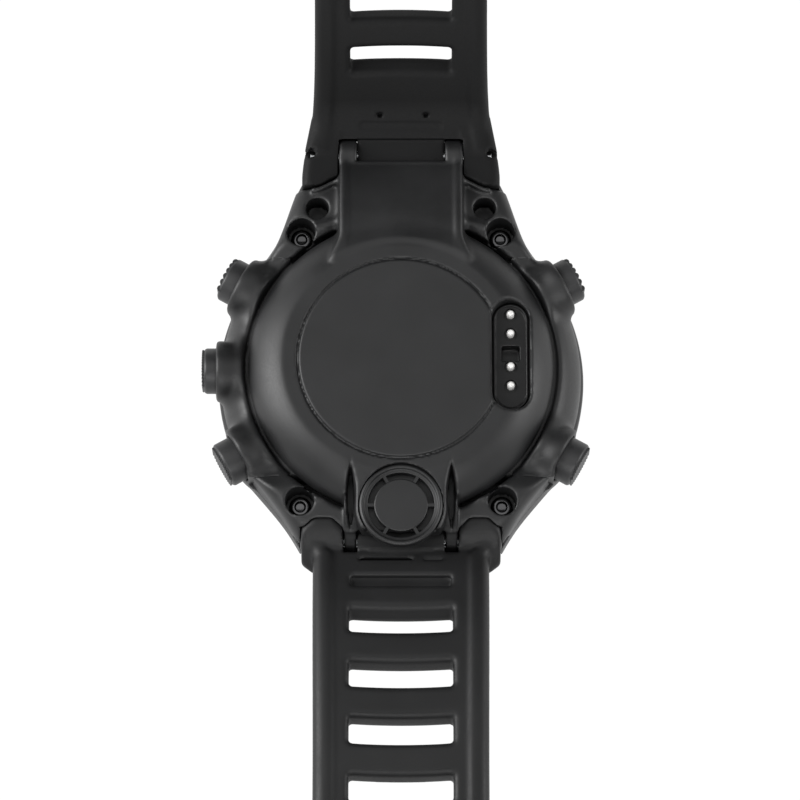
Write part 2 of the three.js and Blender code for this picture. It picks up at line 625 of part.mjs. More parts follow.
// ---- buckle ------------------------------------------------------------------------------------
const buckleBar = rod(BUCKLE.barR, -BUCKLE.armOut + 0.4, BUCKLE.armOut - 0.4, 16);
piece("buckle_bar", "steel", atBar(buckleBar));
const frameOuter = new THREE.Shape();
frameOuter.moveTo(-BUCKLE.armOut, -2.2);
frameOuter.lineTo(BUCKLE.armOut, -2.2);
frameOuter.lineTo(BUCKLE.armOut, BUCKLE.reach - 4);
frameOuter.quadraticCurveTo(BUCKLE.armOut, BUCKLE.reach, BUCKLE.armOut - 5, BUCKLE.reach);
frameOuter.lineTo(-BUCKLE.armOut + 5, BUCKLE.reach);
frameOuter.quadraticCurveTo(-BUCKLE.armOut, BUCKLE.reach, -BUCKLE.armOut, BUCKLE.reach - 4);
const frameGap = block(-BUCKLE.armIn, BUCKLE.armIn, -6, BUCKLE.reach - 2.6, -5, 5);
const frame = cut(
  prism(frameOuter, -BUCKLE.thick / 2, BUCKLE.thick / 2, 5),
  frameGap,
  rod(BUCKLE.barR + 0.05, -20, 20),
);
piece("buckle_frame", "dark_steel", atBar(frame));
const prong = union(
  rod(2, -BUCKLE.tongueHalf, BUCKLE.tongueHalf, 20),
  slab(polygon([
    [0, -2], [6, -2.6], [BUCKLE.reach - 0.6, -3.3], [BUCKLE.reach - 0.6, -1.7], [9, -1.5],
    [4, 0.4], [0, 1.2],
  ]), -BUCKLE.tongueHalf, BUCKLE.tongueHalf),
);
piece("buckle_tongue", "dark_steel", atBar(cut(prong, rod(BUCKLE.barR + 0.1, -9, 9))));

export default model;
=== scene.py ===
import json
import math

import bmesh
import bpy
import numpy as np
from bpy.props import FloatProperty, FloatVectorProperty, IntProperty, PointerProperty
from mathutils import Matrix, Vector


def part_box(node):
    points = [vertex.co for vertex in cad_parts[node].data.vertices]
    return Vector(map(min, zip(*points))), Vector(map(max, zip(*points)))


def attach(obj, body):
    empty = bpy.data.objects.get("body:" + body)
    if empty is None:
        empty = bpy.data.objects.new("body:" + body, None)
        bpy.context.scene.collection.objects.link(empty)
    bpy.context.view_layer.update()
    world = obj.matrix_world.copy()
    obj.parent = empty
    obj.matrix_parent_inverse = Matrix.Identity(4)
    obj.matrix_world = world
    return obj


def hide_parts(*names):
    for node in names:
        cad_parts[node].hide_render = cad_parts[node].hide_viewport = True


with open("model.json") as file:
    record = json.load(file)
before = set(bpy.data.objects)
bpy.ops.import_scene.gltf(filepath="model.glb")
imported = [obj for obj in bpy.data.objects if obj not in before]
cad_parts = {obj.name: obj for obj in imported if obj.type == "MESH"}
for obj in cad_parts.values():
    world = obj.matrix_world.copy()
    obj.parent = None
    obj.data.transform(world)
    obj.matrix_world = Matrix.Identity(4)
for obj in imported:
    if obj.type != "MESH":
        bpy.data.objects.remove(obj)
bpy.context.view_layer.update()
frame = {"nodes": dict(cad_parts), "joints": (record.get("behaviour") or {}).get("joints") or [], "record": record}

bl_info = {
    "name": "Wrist Dive Computer",
    "version": (1, 0, 0),
    "blender": (4, 5, 0),
    "location": "3D View > Sidebar > Dive Computer",
    "description": "Builds the case, buttons, straps and buckle of a wrist dive computer",
    "category": "Object",
}

MM = 0.001

# ---- places that come from the frame, in millimetres ---------------------------------------------


def middle(node):
    """Middle of a node's box."""
    low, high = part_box(node)
    return (low + high) / (2 * MM)


def limits(node):
    """Low and high corners of a node."""
    return [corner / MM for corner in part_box(node)]


def reach(node, axis):
    """Farthest point of a node along a direction."""
    corners = frame["nodes"][node].data.vertices
    return max(Vector(v.co).dot(axis) for v in corners) / MM


SIDES = ("upper_right", "lower_right", "upper_left", "middle_left", "lower_left")
PRESS_AXIS = {
    joint["name"][len("press_"):]: Vector(joint["axis"]).normalized()
    for joint in frame["joints"]
    if joint["name"].startswith("press_")
}
TOP_PIN = middle("spring_bar_upper")
LOW_PIN = middle("spring_bar_lower")
BAR = middle("buckle_bar")
SENSOR = middle("sensor_cover")
PORT = middle("contact_plate")
SCREW = middle("case_screw_1")
LATCH_Y = PORT.y + 0.55
CONTACTS = [middle(f"charging_contact_{i}").y for i in range(1, 5)]
BUTTON_Z = middle("button_middle_left").z
BACK_Z = limits("rear_cover")[1].z

# ---- case sizes, in millimetres ------------------------------------------------------------------
BEZEL_R = limits("bezel")[1].x
DISC_R = 13.75  # flat disc on the back
FLAT_R = 15.8  # flat ring round the disc
FLAT_Z = 16.85
DOME_R = 20.65  # foot of the dome
DOME_FOOT_Z = 12.4
DOME_POWER = 1.5  # 1 is a cone, 2 is an ellipse
VALLEY_R = 20.95  # channel between the dome and the wall round it
VALLEY_HALF = 0.14
VALLEY_Z = 11.7
WALL_R = 24.6  # outside of the middle case beside the bezel
WALL_LOW_Z = 5.8
WALL_TOP_Z = 12.3
LUG_ENDS = (28.6, 27.9)  # the lugs end here, towards the upper strap and the lower strap
PAD_RISE = 0.9  # the corner pads stand this much above the wall
PAD_Y = 15.2  # the corner pads begin here
PAD_LOW_Z = 8.45
SEAM = 0.25  # the middle case laps over the edge of the corner pads
CAVITY_R = 18.4  # inside of the middle case
TONGUE_HALF = 8.4
TONGUE_EYE_R = 2.25
ROOT_GAP = 0.07  # between the tongue and the upper strap's root
SEAT_GAP = 0.15  # round the roots of both straps
NOTCH_HALF = 6.05
EAR_X = 6.8
EAR_HALF = 0.8
EAR_R = 1.75
PIN_BORE_R = 0.85
BLIND_HOLE = {"x": 11.4, "y": 22.3, "radius": 1.5, "floor": 8.9}
SCREW_WELL = {"radius": 1.9, "floor": 9.0}
BOSS_R = 6.15  # platform under the sensor cover
BOSS_Z = 16.4
COVER_R = 5.66  # seat of the sensor cover
COVER_SEAT_Z = 15.0
PORT_HALF = (2.55, 7.65)  # charging recess
PORT_FLOOR_Z = 14.3
LATCH_HALF = (1.25, 1.1)
LATCH_FLOOR_Z = 12.6
COLLAR = {"radius": 3.7, "flare": 0.38, "foot": 18.0, "end": 25.05, "bore": 3.32, "floor": 23.2}

# Half width of the case at a distance from its middle, towards each strap.
TOP_LUG = np.polyfit([16.0, 17.2, 19.4, 21.6, 23.9, 27.2], [18.0, 17.3, 16.6, 15.75, 15.0, 13.85], 3)
LOW_LUG = np.polyfit([16.5, 18.0, 20.2, 22.5, 24.7, 26.9], [19.3, 18.1, 16.4, 14.9, 13.6, 12.5], 2)

# ---- strap sizes, in millimetres -----------------------------------------------------------------
STRAP_T = 3.4
STRAP_HALF = (11.66, 11.84)  # half width of the upper and the lower strap
SLOT = {"half": 6.9, "reach": 1.85, "corner": 0.5, "pitch": 7.7, "bow": 0.25}
UPPER = {
    "start": (31, 11.7),
    "heading": 6,
    "runs": [(8, 44), (6, -3), (8, -9), (22, -20), (22, -14), (6, -4), (17, 0)],
    "sign": 1,
    "first": 13.8,
    "lean": 0.75,
    "count": 6,
}
LOWER = {
    "start": (23.6, 9.3),
    "heading": 20,
    "runs": [(12, -6), (20, -14), (40, -14), (21.4, 0), (28, 14), (6.6, 0)],
    "sign": -1,
    "first": 12.4,
    "lean": 0.95,
    "count": 13,
}
TIP_LENGTH = 10  # rounded end of the long strap
LEVER_HOLES = ((-2.9, 5.3), (3.4, 5.3))  # across, along the upper strap
EYELET = (12.3, 0.6)  # across, radius
LOBES_FROM = (8.53, 7.8)  # inner sides of the root's lobes, upper and lower strap
KNUCKLE_HALF = 5.93  # middle of the upper strap's root, between the tongue's ears
WEB_HALF = 9  # the web under each root
BUCKLE_ROLL_R = 2.3


# ---- settings ------------------------------------------------------------------------------------


class DIVE_PG_finish(bpy.types.PropertyGroup):
    """Colours and textures of the outside."""

    case_colour: FloatVectorProperty(
        name="Case colour", description="Moulded case and rear cover", subtype="COLOR",
        size=3, min=0, max=1, default=(0.0068, 0.007, 0.0074),
    )
    strap_colour: FloatVectorProperty(
        name="Strap colour", description="Rubber straps and keepers", subtype="COLOR",
        size=3, min=0, max=1, default=(0.0066, 0.0067, 0.007),
    )
    bezel_colour: FloatVectorProperty(
        name="Bezel colour", description="Coated bezel", subtype="COLOR",
        size=3, min=0, max=1, default=(0.009, 0.0092, 0.0098),
    )
    button_colour: FloatVectorProperty(
        name="Button colour", description="Coated buttons", subtype="COLOR",
        size=3, min=0, max=1, default=(0.02, 0.0202, 0.021),
    )
    grain: FloatProperty(
        name="Moulding grain", description="Size of the fine texture of the mouldings",
        default=0.00022, min=0.00005, unit="LENGTH",
    )


class DIVE_PG_shape(bpy.types.PropertyGroup):
    """Sizes of the details that repeat, and how finely the mouldings are meshed."""

    case_step: FloatProperty(
        name="Case mesh step", description="Mesh spacing of the case mouldings",
        default=0.00022, min=0.0001, unit="LENGTH",
    )
    strap_step: FloatProperty(
        name="Strap mesh step", description="Mesh spacing of the straps",
        default=0.0003, min=0.00015, unit="LENGTH",
    )
    rib_count: IntProperty(
        name="Sensor ribs", description="Ribs across the water gap of the sensor cover",
        default=6, min=2,
    )
    rib_width: FloatProperty(
        name="Rib width", description="Width of one sensor rib", default=0.00042, unit="LENGTH",
    )
    coarse_ridges: IntProperty(
        name="Upper button ridges", description="Grip ridges on each upper button",
        default=6, min=2,
    )
    fine_ridges: IntProperty(
        name="Other button ridges", description="Grip ridges on each other button",
        default=13, min=2,
    )


# ---- mesh tools ----------------------------------------------------------------------------------


def plain_object(name, points, faces):
    """Mesh object at the origin from points in millimetres."""
    mesh = bpy.data.meshes.new(name)
    mesh.from_pydata((np.asarray(points, float) * MM).tolist(), [], faces)
    mesh.polygons.foreach_set("use_smooth", [True] * len(mesh.polygons))
    mesh.update()
    thing = bpy.data.objects.new(name, mesh)
    bpy.context.scene.collection.objects.link(thing)
    return thing


def outward(thing, angle=35):
    """Merges doubles, turns the faces outwards and keeps edges sharper than the angle crisp."""
    work = bmesh.new()
    work.from_mesh(thing.data)
    bmesh.ops.remove_doubles(work, verts=work.verts, dist=1e-7)
    bmesh.ops.recalc_face_normals(work, faces=work.faces)
    work.to_mesh(thing.data)
    work.free()
    thing.data.set_sharp_from_angle(angle=math.radians(angle))
    return thing


def baked(thing):
    """Turns an object with modifiers into a plain mesh."""
    bpy.context.view_layer.update()
    graph = bpy.context.evaluated_depsgraph_get()
    mesh = bpy.data.meshes.new_from_object(thing.evaluated_get(graph), depsgraph=graph)
    thing.modifiers.clear()
    thing.data = mesh
    return thing


def dress(thing, material):
    thing.data.materials.clear()
    thing.data.materials.append(material)
    return thing


def hand_over(thing, body, slot, *nodes):
    """The last step for every piece: its body and the nodes that it stands for. The slot argument is not used."""
    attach(thing, body)
    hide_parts(*nodes)
    return thing


def swung(profile, sides=128):
    """Points and faces of a round solid about X. profile is [x, radius] from axis to axis."""
    points, faces, rows = [], [], []
    for x, r in profile:
        on_axis = r < 1e-6
        rows.append([len(points) + (0 if on_axis else k) for k in range(sides)])
        for k in range(1 if on_axis else sides):
            a = 2 * math.pi * k / sides
            points.append((x, r * math.cos(a), r * math.sin(a)))
    for a, b in zip(rows, rows[1:]):
        for k in range(sides):
            n = (k + 1) % sides
            face = [a[k], a[n], b[n], b[k]]
            face = [v for j, v in enumerate(face) if v not in face[:j]]
            if len(face) > 2:
                faces.append(face)
    return points, faces


def rounded(profile, radius, steps=4):
    """Rounds the inner corners of a profile with arcs of up to the radius."""
    result = [profile[0]]
    for before, corner, after in zip(profile, profile[1:], profile[2:]):
        b, c, a = (np.array(p, float) for p in (before, corner, after))
        to_b, to_a = b - c, a - c
        room = min(radius, 0.45 * np.linalg.norm(to_b), 0.45 * np.linalg.norm(to_a))
        start = c + to_b / np.linalg.norm(to_b) * room
        stop = c + to_a / np.linalg.norm(to_a) * room
        for i in range(steps + 1):
            t = i / steps
            result.append(tuple((1 - t) ** 2 * start + 2 * t * (1 - t) * c + t * t * stop))
    result.append(profile[-1])
    return result


def lathe(name, profile, place, sides=128, radius=0.15):
    """Round piece with softened corners. place turns local X, the axis, into the frame."""
    thing = plain_object(name, *swung(rounded(profile, radius), sides))
    thing.data.transform(place)
    return outward(thing)


def upright(x=0, y=0, z=0):
    """Places a round piece with its axis along Z."""
    return Matrix.Translation(Vector((x, y, z)) * MM) @ Matrix.Rotation(-math.pi / 2, 4, "Y")


def crosswise(x=0, y=0, z=0):
    """Places a round piece with its axis along X."""
    return Matrix.Translation(Vector((x, y, z)) * MM)


def radial(axis):
    """Places a button part with its axis pointing out of the case."""
    turn = Matrix.Rotation(math.atan2(axis.y, axis.x), 4, "Z")
    return Matrix.Translation((0, 0, BUTTON_Z * MM)) @ turn


# ---- smooth solids -------------------------------------------------------------------------------
# A field is below zero inside a solid. Joins and cuts of fields keep a soft fillet of width k.


def join(a, b, k):
    """Either solid."""
    h = np.maximum(k - np.abs(a - b), 0) / k
    return np.minimum(a, b) - h * h * k / 4


def meet(a, b, k):
    """What two solids share."""
    h = np.maximum(k - np.abs(a - b), 0) / k
    return np.maximum(a, b) + h * h * k / 4


def carve(a, b, k):
    """The first solid without the second."""
    return meet(a, -b, k)


def ease(t):
    """Smooth step from 0 to 1."""
    t = np.clip(t, 0, 1)
    return t * t * (3 - 2 * t)


def from_bar(bar, y, z):
    """Distance from a bar that runs along X."""
    return np.hypot(y - bar.y, z - bar.z)


def pill(u, v, half_width, half_length):
    """Outline with round ends, long in v."""
    return np.hypot(u, np.maximum(np.abs(v) - (half_length - half_width), 0)) - half_width


def soft_box(u, v, half_u, half_v, corner):
    """Rectangle with round corners."""
    du = np.abs(u) - half_u + corner
    dv = np.abs(v) - half_v + corner
    outside = np.hypot(np.maximum(du, 0), np.maximum(dv, 0))
    return outside + np.minimum(np.maximum(du, dv), 0) - corner


def cell_points(grid, step, origin):
    """One point in each cell that the surface crosses, at the mean of its edge crossings."""
    inside = grid < 0
    cells = [n - 1 for n in grid.shape]
    count = np.zeros(cells, np.int8)
    corners = [(i, j, k) for i in (0, 1) for j in (0, 1) for k in (0, 1)]
    for i, j, k in corners:
        count += inside[i:i + cells[0], j:j + cells[1], k:k + cells[2]]
    active = (count > 0) & (count < 8)
    where = np.argwhere(active)
    ids = np.full(cells, -1, np.int32)
    ids[active] = np.arange(len(where))
    total = np.zeros((len(where), 3))
    hits = np.zeros(len(where))
    for start in corners:
        for axis in range(3):
            if start[axis]:
                continue
            end = list(start)
            end[axis] = 1
            a = grid[tuple((where + start).T)]
            b = grid[tuple((where + end).T)]
            crossed = (a < 0) != (b < 0)
            t = np.where(crossed, a / np.where(crossed, a - b, 1), 0)
            point = np.array(start, float) + np.outer(t, np.eye(3)[axis])
            total += point * crossed[:, None]
            hits += crossed
    return ids, (where + total / hits[:, None]) * step + origin


def cell_faces(grid, ids):
    """Four-sided faces across every grid edge that the surface crosses."""
    inside = grid < 0
    faces = []
    for axis in range(3):
        b, c = (axis + 1) % 3, (axis + 2) % 3
        near = [slice(None)] * 3
        far = [slice(None)] * 3
        near[axis], far[axis] = slice(0, -1), slice(1, None)
        first = inside[tuple(near)]
        crossed = first != inside[tuple(far)]
        spots = np.argwhere(crossed)
        leaving = first[crossed]
        back_b, back_c = np.eye(3, dtype=int)[b], np.eye(3, dtype=int)[c]
        ring = [spots - back_b - back_c, spots - back_c, spots, spots - back_b]
        quad = np.stack([ids[tuple(r.T)] for r in ring], 1)
        quad[~leaving] = quad[~leaving][:, ::-1]
        faces.append(quad)
    return np.concatenate(faces)


def settle(points, field, step):
    """Moves the points onto the exact surface."""
    e = 0.01  # the slope is measured over this distance
    for _ in range(2):
        x, y, z = points.T
        f = field(x, y, z)
        slope = np.stack([field(x + e, y, z), field(x, y + e, z), field(x, y, z + e)], 1)
        slope = (slope - f[:, None]) / e
        move = f[:, None] * slope / np.maximum((slope * slope).sum(1), 0.1)[:, None]
        length = np.linalg.norm(move, axis=1)
        points = points - move * np.minimum(1, 0.5 * step / np.maximum(length, 1e-9))[:, None]
    return points


def moulded(name, field, low, high, step, limit=190000):
    """Closed mesh of a field inside a box, thinned where it is flat if it has too many faces."""
    step = step * 1
    axes = [np.arange(a - 1.5 * step, b + 2.5 * step, step) for a, b in zip(low, high)]
    x, y, z = axes[0][:, None, None], axes[1][None, :, None], axes[2][None, None, :]
    grid = field(x, y, z)
    grid = np.array(np.broadcast_to(grid, [len(a) for a in axes]), np.float32)
    for axis in range(3):
        for rim in (0, -1):
            np.moveaxis(grid, axis, 0)[rim] = step
    ids, points = cell_points(grid, step, np.array([a[0] for a in axes]))
    faces = cell_faces(grid, ids)
    thing = plain_object(name, settle(points, field, step), faces.tolist())
    if 2 * len(faces) > limit:
        thinner = thing.modifiers.new("Thin", "DECIMATE")
        thinner.ratio = limit / (2 * len(faces))
        baked(thing)
        thing.data.polygons.foreach_set("use_smooth", [True] * len(thing.data.polygons))
    thing.data.set_sharp_from_angle(angle=math.radians(50))
    return thing


# ---- geometry nodes ------------------------------------------------------------------------------


class Tree:
    """A geometry node tree with named inputs, built one node at a time."""

    def __init__(self, name, inputs):
        self.group = bpy.data.node_groups.new(name, "GeometryNodeTree")
        face = self.group.interface
        face.new_socket("Geometry", in_out="INPUT", socket_type="NodeSocketGeometry")
        for label, kind in inputs.items():
            face.new_socket(label, in_out="INPUT", socket_type=f"NodeSocket{kind}")
        face.new_socket("Geometry", in_out="OUTPUT", socket_type="NodeSocketGeometry")
        self.start = self.group.nodes.new("NodeGroupInput")

    def given(self, label):
        return self.start.outputs[label]

    def node(self, kind, settings=None, **inputs):
        """Adds a node. inputs are values or sockets, keyed by the socket's name or number."""
        made = self.group.nodes.new(kind)
        for key, value in (settings or {}).items():
            setattr(made, key, value)
        for key, value in inputs.items():
            place = int(key[1:]) if key[1:].isdigit() else key.replace("_", " ")
            socket = made.inputs[place]
            if isinstance(value, bpy.types.NodeSocket):
                self.group.links.new(value, socket)
            else:
                socket.default_value = value
        return made.outputs[0]

    def sum(self, operation, a, b=0.0):
        return self.node("ShaderNodeMath", {"operation": operation}, i0=a, i1=b)

    def vector(self, x=0.0, y=0.0, z=0.0):
        return self.node("ShaderNodeCombineXYZ", X=x, Y=y, Z=z)

    def together(self, *parts):
        made = self.group.nodes.new("GeometryNodeJoinGeometry")
        for part in reversed(parts):
            self.group.links.new(part, made.inputs[0])
        return made.outputs[0]

    def finish(self, geometry):
        """Every tree ends in Realize Instances and Set Material."""
        solid = self.node("GeometryNodeRealizeInstances", Geometry=geometry)
        coated = self.node("GeometryNodeSetMaterial", Geometry=solid, Material=self.given("Material"))
        end = self.group.nodes.new("NodeGroupOutput")
        self.group.links.new(coated, end.inputs[0])
        return self.group


def grow(thing, tree, **values):
    """Runs a tree on an object and leaves a plain mesh."""
    modifier = thing.modifiers.new("Repeat", "NODES")
    modifier.node_group = tree
    sockets = [item for item in tree.interface.items_tree if item.in_out == "INPUT"]
    names = {item.name: item.identifier for item in sockets}
    for label, value in values.items():
        modifier[names[label.replace("_", " ")]] = value
    baked(thing)
    return outward(thing)


def grid_tree():
    """Copies the piece to the four corners of a rectangle."""
    t = Tree("Corner copies", {"Width": "Float", "Height": "Float", "Material": "Material"})
    spots = t.node(
        "GeometryNodeMeshGrid", i0=t.given("Width"), i1=t.given("Height"), i2=2, i3=2)
    copies = t.node("GeometryNodeInstanceOnPoints", Points=spots, Instance=t.given("Geometry"))
    return t.finish(copies)


def pairs_tree():
    """Copies the piece into two pairs along Y."""
    t = Tree("Paired copies", {"Inner gap": "Float", "Outer gap": "Float", "Material": "Material"})
    pair = t.node("GeometryNodeMeshLine", i0=2, Offset=t.vector(y=t.given("Inner gap")))
    two = t.node("GeometryNodeInstanceOnPoints", Points=pair, Instance=t.given("Geometry"))
    again = t.node("GeometryNodeMeshLine", i0=2, Offset=t.vector(y=t.given("Outer gap")))
    four = t.node("GeometryNodeInstanceOnPoints", Points=again, Instance=two)
    return t.finish(four)


def rib_tree():
    """Adds flat ribs that point away from the middle, evenly round a circle."""
    t = Tree("Radial ribs", {
        "Count": "Int", "Radius": "Float", "Length": "Float", "Width": "Float",
        "Depth": "Float", "Material": "Material",
    })
    circle = t.node("GeometryNodeMeshCircle", i0=t.given("Count"), i1=t.given("Radius"))
    size = t.vector(t.given("Length"), t.given("Width"), t.given("Depth"))
    rib = t.node("GeometryNodeMeshCube", Size=size)
    place = t.node("GeometryNodeInputPosition")
    facing = t.node("FunctionNodeAlignRotationToVector", {"axis": "X"}, Vector=place)
    ribs = t.node("GeometryNodeInstanceOnPoints", Points=circle, Instance=rib, Rotation=facing)
    return t.finish(t.together(t.given("Geometry"), ribs))


def ridge_tree():
    """Adds upright grip ridges across the round end of a button."""
    t = Tree("Grip ridges", {
        "Count": "Int", "Pitch": "Float", "Ridge radius": "Float", "Face radius": "Float",
        "Face": "Float", "Material": "Material",
    })
    last = t.sum("SUBTRACT", t.given("Count"), 1.0)
    first = t.sum("MULTIPLY", t.sum("MULTIPLY", last, t.given("Pitch")), -0.5)
    row = t.node(
        "GeometryNodeMeshLine", i0=t.given("Count"), Start_Location=t.vector(t.given("Face"), first),
        Offset=t.vector(y=t.given("Pitch")))
    place = t.node("GeometryNodeInputPosition")
    split = t.group.nodes.new("ShaderNodeSeparateXYZ")
    t.group.links.new(place, split.inputs[0])
    across = t.sum("MULTIPLY", split.outputs["Y"], split.outputs["Y"])
    whole = t.sum("MULTIPLY", t.given("Face radius"), t.given("Face radius"))
    rest = t.sum("MAXIMUM", t.sum("SUBTRACT", whole, across), 0.0)
    chord = t.sum("MULTIPLY", t.sum("SQRT", rest), 2.0)
    bar = t.node("GeometryNodeMeshCylinder", i0=12, i3=1.0, i4=1.0)
    size = t.vector(t.given("Ridge radius"), t.given("Ridge radius"), chord)
    bars = t.node("GeometryNodeInstanceOnPoints", Points=row, Instance=bar, Scale=size)
    return t.finish(t.together(t.given("Geometry"), bars))


# ---- materials -----------------------------------------------------------------------------------


def material_nodes(name):
    """New material with its nodes, its links and its shader."""
    material = bpy.data.materials.new(name)
    material.use_nodes = True
    tree = material.node_tree
    return material, tree.nodes, tree.links, tree.nodes["Principled BSDF"]


def noise(nodes, links, source, size, detail=3.0, rough=0.6):
    """Noise factor with features of about the size, in metres."""
    made = nodes.new("ShaderNodeTexNoise")
    made.inputs["Scale"].default_value = 1 / size
    made.inputs["Detail"].default_value = detail
    made.inputs["Roughness"].default_value = rough
    links.new(source, made.inputs["Vector"])
    return made.outputs["Fac"]


def spread(nodes, links, source, low, high):
    """Stretches the middle of a noise factor over a range."""
    made = nodes.new("ShaderNodeMapRange")
    made.inputs["From Min"].default_value = 0.3
    made.inputs["From Max"].default_value = 0.7
    made.inputs["To Min"].default_value = low
    made.inputs["To Max"].default_value = high
    links.new(source, made.inputs["Value"])
    return made.outputs["Result"]


def surface(name, colour, roughness, grain, depth, *, metallic=0.0, specular=0.5, vary=0.18,
            patch=0.006, streak=(1, 1, 1), coat=0.0):
    """A solid finish with a fine raised grain, uneven gloss and slow changes of tone."""
    material, nodes, links, shader = material_nodes(name)
    place = nodes.new("ShaderNodeTexCoord").outputs["Object"]
    stretched = nodes.new("ShaderNodeMapping")
    stretched.inputs["Scale"].default_value = streak
    links.new(place, stretched.inputs["Vector"])
    fine = noise(nodes, links, stretched.outputs["Vector"], grain)
    broad = noise(nodes, links, place, patch, 2.0, 0.5)
    tone = nodes.new("ShaderNodeMix")
    tone.data_type = "RGBA"
    tone.inputs[6].default_value = (*[c * (1 - vary) for c in colour], 1)
    tone.inputs[7].default_value = (*[min(c * (1 + vary), 1) for c in colour], 1)
    links.new(spread(nodes, links, broad, 0, 1), tone.inputs[0])
    links.new(tone.outputs[2], shader.inputs["Base Color"])
    mixed = nodes.new("ShaderNodeMath")
    mixed.operation = "ADD"
    links.new(spread(nodes, links, fine, -0.05, 0.05), mixed.inputs[0])
    links.new(spread(nodes, links, broad, roughness - 0.04, roughness + 0.04), mixed.inputs[1])
    links.new(mixed.outputs[0], shader.inputs["Roughness"])
    bump = nodes.new("ShaderNodeBump")
    bump.inputs["Distance"].default_value = depth
    bump.inputs["Strength"].default_value = 0.6
    links.new(fine, bump.inputs["Height"])
    links.new(bump.outputs["Normal"], shader.inputs["Normal"])
    shader.inputs["Metallic"].default_value = metallic
    shader.inputs["Specular IOR Level"].default_value = specular
    shader.inputs["Coat Weight"].default_value = coat
    return material


def clear_glass():
    """Crystal: clear, faintly tinted, with a trace of polishing marks."""
    material = surface(
        "crystal glass", (0.9, 0.94, 0.95), 0.06, 0.0004, 0.0000002, specular=0.5, vary=0.02)
    shader = material.node_tree.nodes["Principled BSDF"]
    shader.inputs["Transmission Weight"].default_value = 0.85
    shader.inputs["IOR"].default_value = 1.5
    return material


def board_finish():
    """Circuit board: green mask with square copper fields."""
    material, nodes, links, shader = material_nodes("circuit board")
    place = nodes.new("ShaderNodeTexCoord").outputs["Object"]
    tracks = nodes.new("ShaderNodeTexBrick")
    tracks.inputs["Color1"].default_value = (0.01, 0.09, 0.04, 1)
    tracks.inputs["Color2"].default_value = (0.015, 0.12, 0.05, 1)
    tracks.inputs["Mortar"].default_value = (0.35, 0.24, 0.08, 1)
    tracks.inputs["Scale"].default_value = 400
    links.new(place, tracks.inputs["Vector"])
    links.new(tracks.outputs["Color"], shader.inputs["Base Color"])
    links.new(
        spread(nodes, links, noise(nodes, links, place, 0.0006), 0.3, 0.5),
        shader.inputs["Roughness"])
    return material


MATERIALS = {}


def make_materials():
    """Fills MATERIALS with the outside finishes and the material slots of the inner pieces."""
    look = bpy.context.scene.dive_finish
    grain = look.grain
    case, strap = tuple(look.case_colour), tuple(look.strap_colour)
    MATERIALS.update({
        "shell": surface("moulded case", case, 0.48, grain, 0.000012, specular=0.55),
        "bezel": surface(
            "coated bezel", tuple(look.bezel_colour), 0.42, grain, 0.000008, specular=0.5),
        "strap": surface(
            "strap rubber", strap, 0.52, grain * 1.3, 0.000014, specular=0.36, patch=0.009),
        # The upper strap takes a darker, less glossy copy of the same strap rubber: painted shade.
        "upper strap": surface(
            "upper strap rubber with painted shade", tuple(0.6 * c for c in strap), 0.62, grain * 1.3, 0.000014,
            specular=0.21, patch=0.009),
        "button": surface(
            "coated button", tuple(look.button_colour), 0.45, grain, 0.00001, specular=0.5),
        "buckle": surface(
            "coated buckle", tuple(look.button_colour), 0.4, grain, 0.000008, specular=0.6,
            metallic=0.4),
        "seal": surface("seal rubber", (0.008, 0.008, 0.008), 0.6, 0.0003, 0.00001, specular=0.3),
        "steel": surface(
            "plain steel", (0.55, 0.56, 0.57), 0.28, 0.0002, 0.000002, metallic=1.0,
            streak=(0.1, 1, 1)),
        "screw": surface(
            "machined screw", (0.12, 0.12, 0.123), 0.16, 0.00015, 0.000003, metallic=1.0),
        # Plated contacts: silvery plating, made mostly matte near-white, so the brightness of their reflection is
        # painted into the colour.
        "contact": surface(
            "plated contact with painted reflection", (0.93, 0.92, 0.9), 0.35, 0.0001, 0.000001, metallic=0.3, vary=0.05),
        "plate": surface(
            "contact plate plastic", (0.006, 0.006, 0.0062), 0.4, grain, 0.000006, specular=0.35),
        "display": surface(
            "display panel", (0.012, 0.016, 0.02), 0.15, 0.001, 0.000001, coat=0.5),
        "cell": surface("battery wrap", (0.5, 0.52, 0.54), 0.4, 0.0012, 0.00002, metallic=0.6),
        "board": board_finish(),
        "crystal": clear_glass(),
    })


# ---- the case ------------------------------------------------------------------------------------


def outer_wall(x, y, z):
    """Wall and corner pads round the dome, before buttons and holes."""
    r = np.hypot(x, y)
    far = np.abs(y)
    height = np.clip((z - WALL_LOW_Z) / (WALL_TOP_Z - WALL_LOW_Z), 0, 1.3)
    round_side = r - (WALL_R - 2.8 * height ** 2.2)
    top_half = np.polyval(TOP_LUG, np.clip(y, 14, 28))
    low_half = np.polyval(LOW_LUG, np.clip(-y, 14, 28))
    lean = 0.05 * np.maximum(z - 7, 0)
    lug = np.abs(x) - np.where(y > 0, top_half, low_half) + lean
    end = np.where(y > 0, y - LUG_ENDS[0], -y - LUG_ENDS[1])
    lug = meet(lug, end, 1.0)
    lug = np.where(far < 13, 30.0 - 2 * (far - 13), lug)
    side = join(round_side, lug, 2.2)
    rise = PAD_RISE * ease((far - 13.5) / 4)
    drop = np.where(y < 0, 0.085 * np.maximum(far - 19.5, 0) ** 2, 0.03 * np.maximum(far - 21, 0) ** 2)
    drop = drop + 0.42 * np.maximum(r - VALLEY_R - 0.2, 0) * ease((18 - far) / 7)
    top = z - (WALL_TOP_Z + rise - drop)
    softness = 0.7 + 1.7 * ease((far - 14) / 5)
    return meet(side, top, softness)


def valley(x, y, z):
    """Channel round the dome."""
    return np.maximum(np.abs(np.hypot(x, y) - VALLEY_R) - VALLEY_HALF, VALLEY_Z - z)


def top_root(x):
    """Radius of the upper strap's root round its spring bar."""
    return 3.6 + 1.35 * ease((np.abs(x) - 8.2) / 3.8)


def low_root(x):
    """Radius of the lower strap's root round its spring bar."""
    wide = np.abs(x)
    return 3.25 + 1.1 * ease((wide - 7.4) / 2.2) * ease((13.6 - wide) / 2.2)


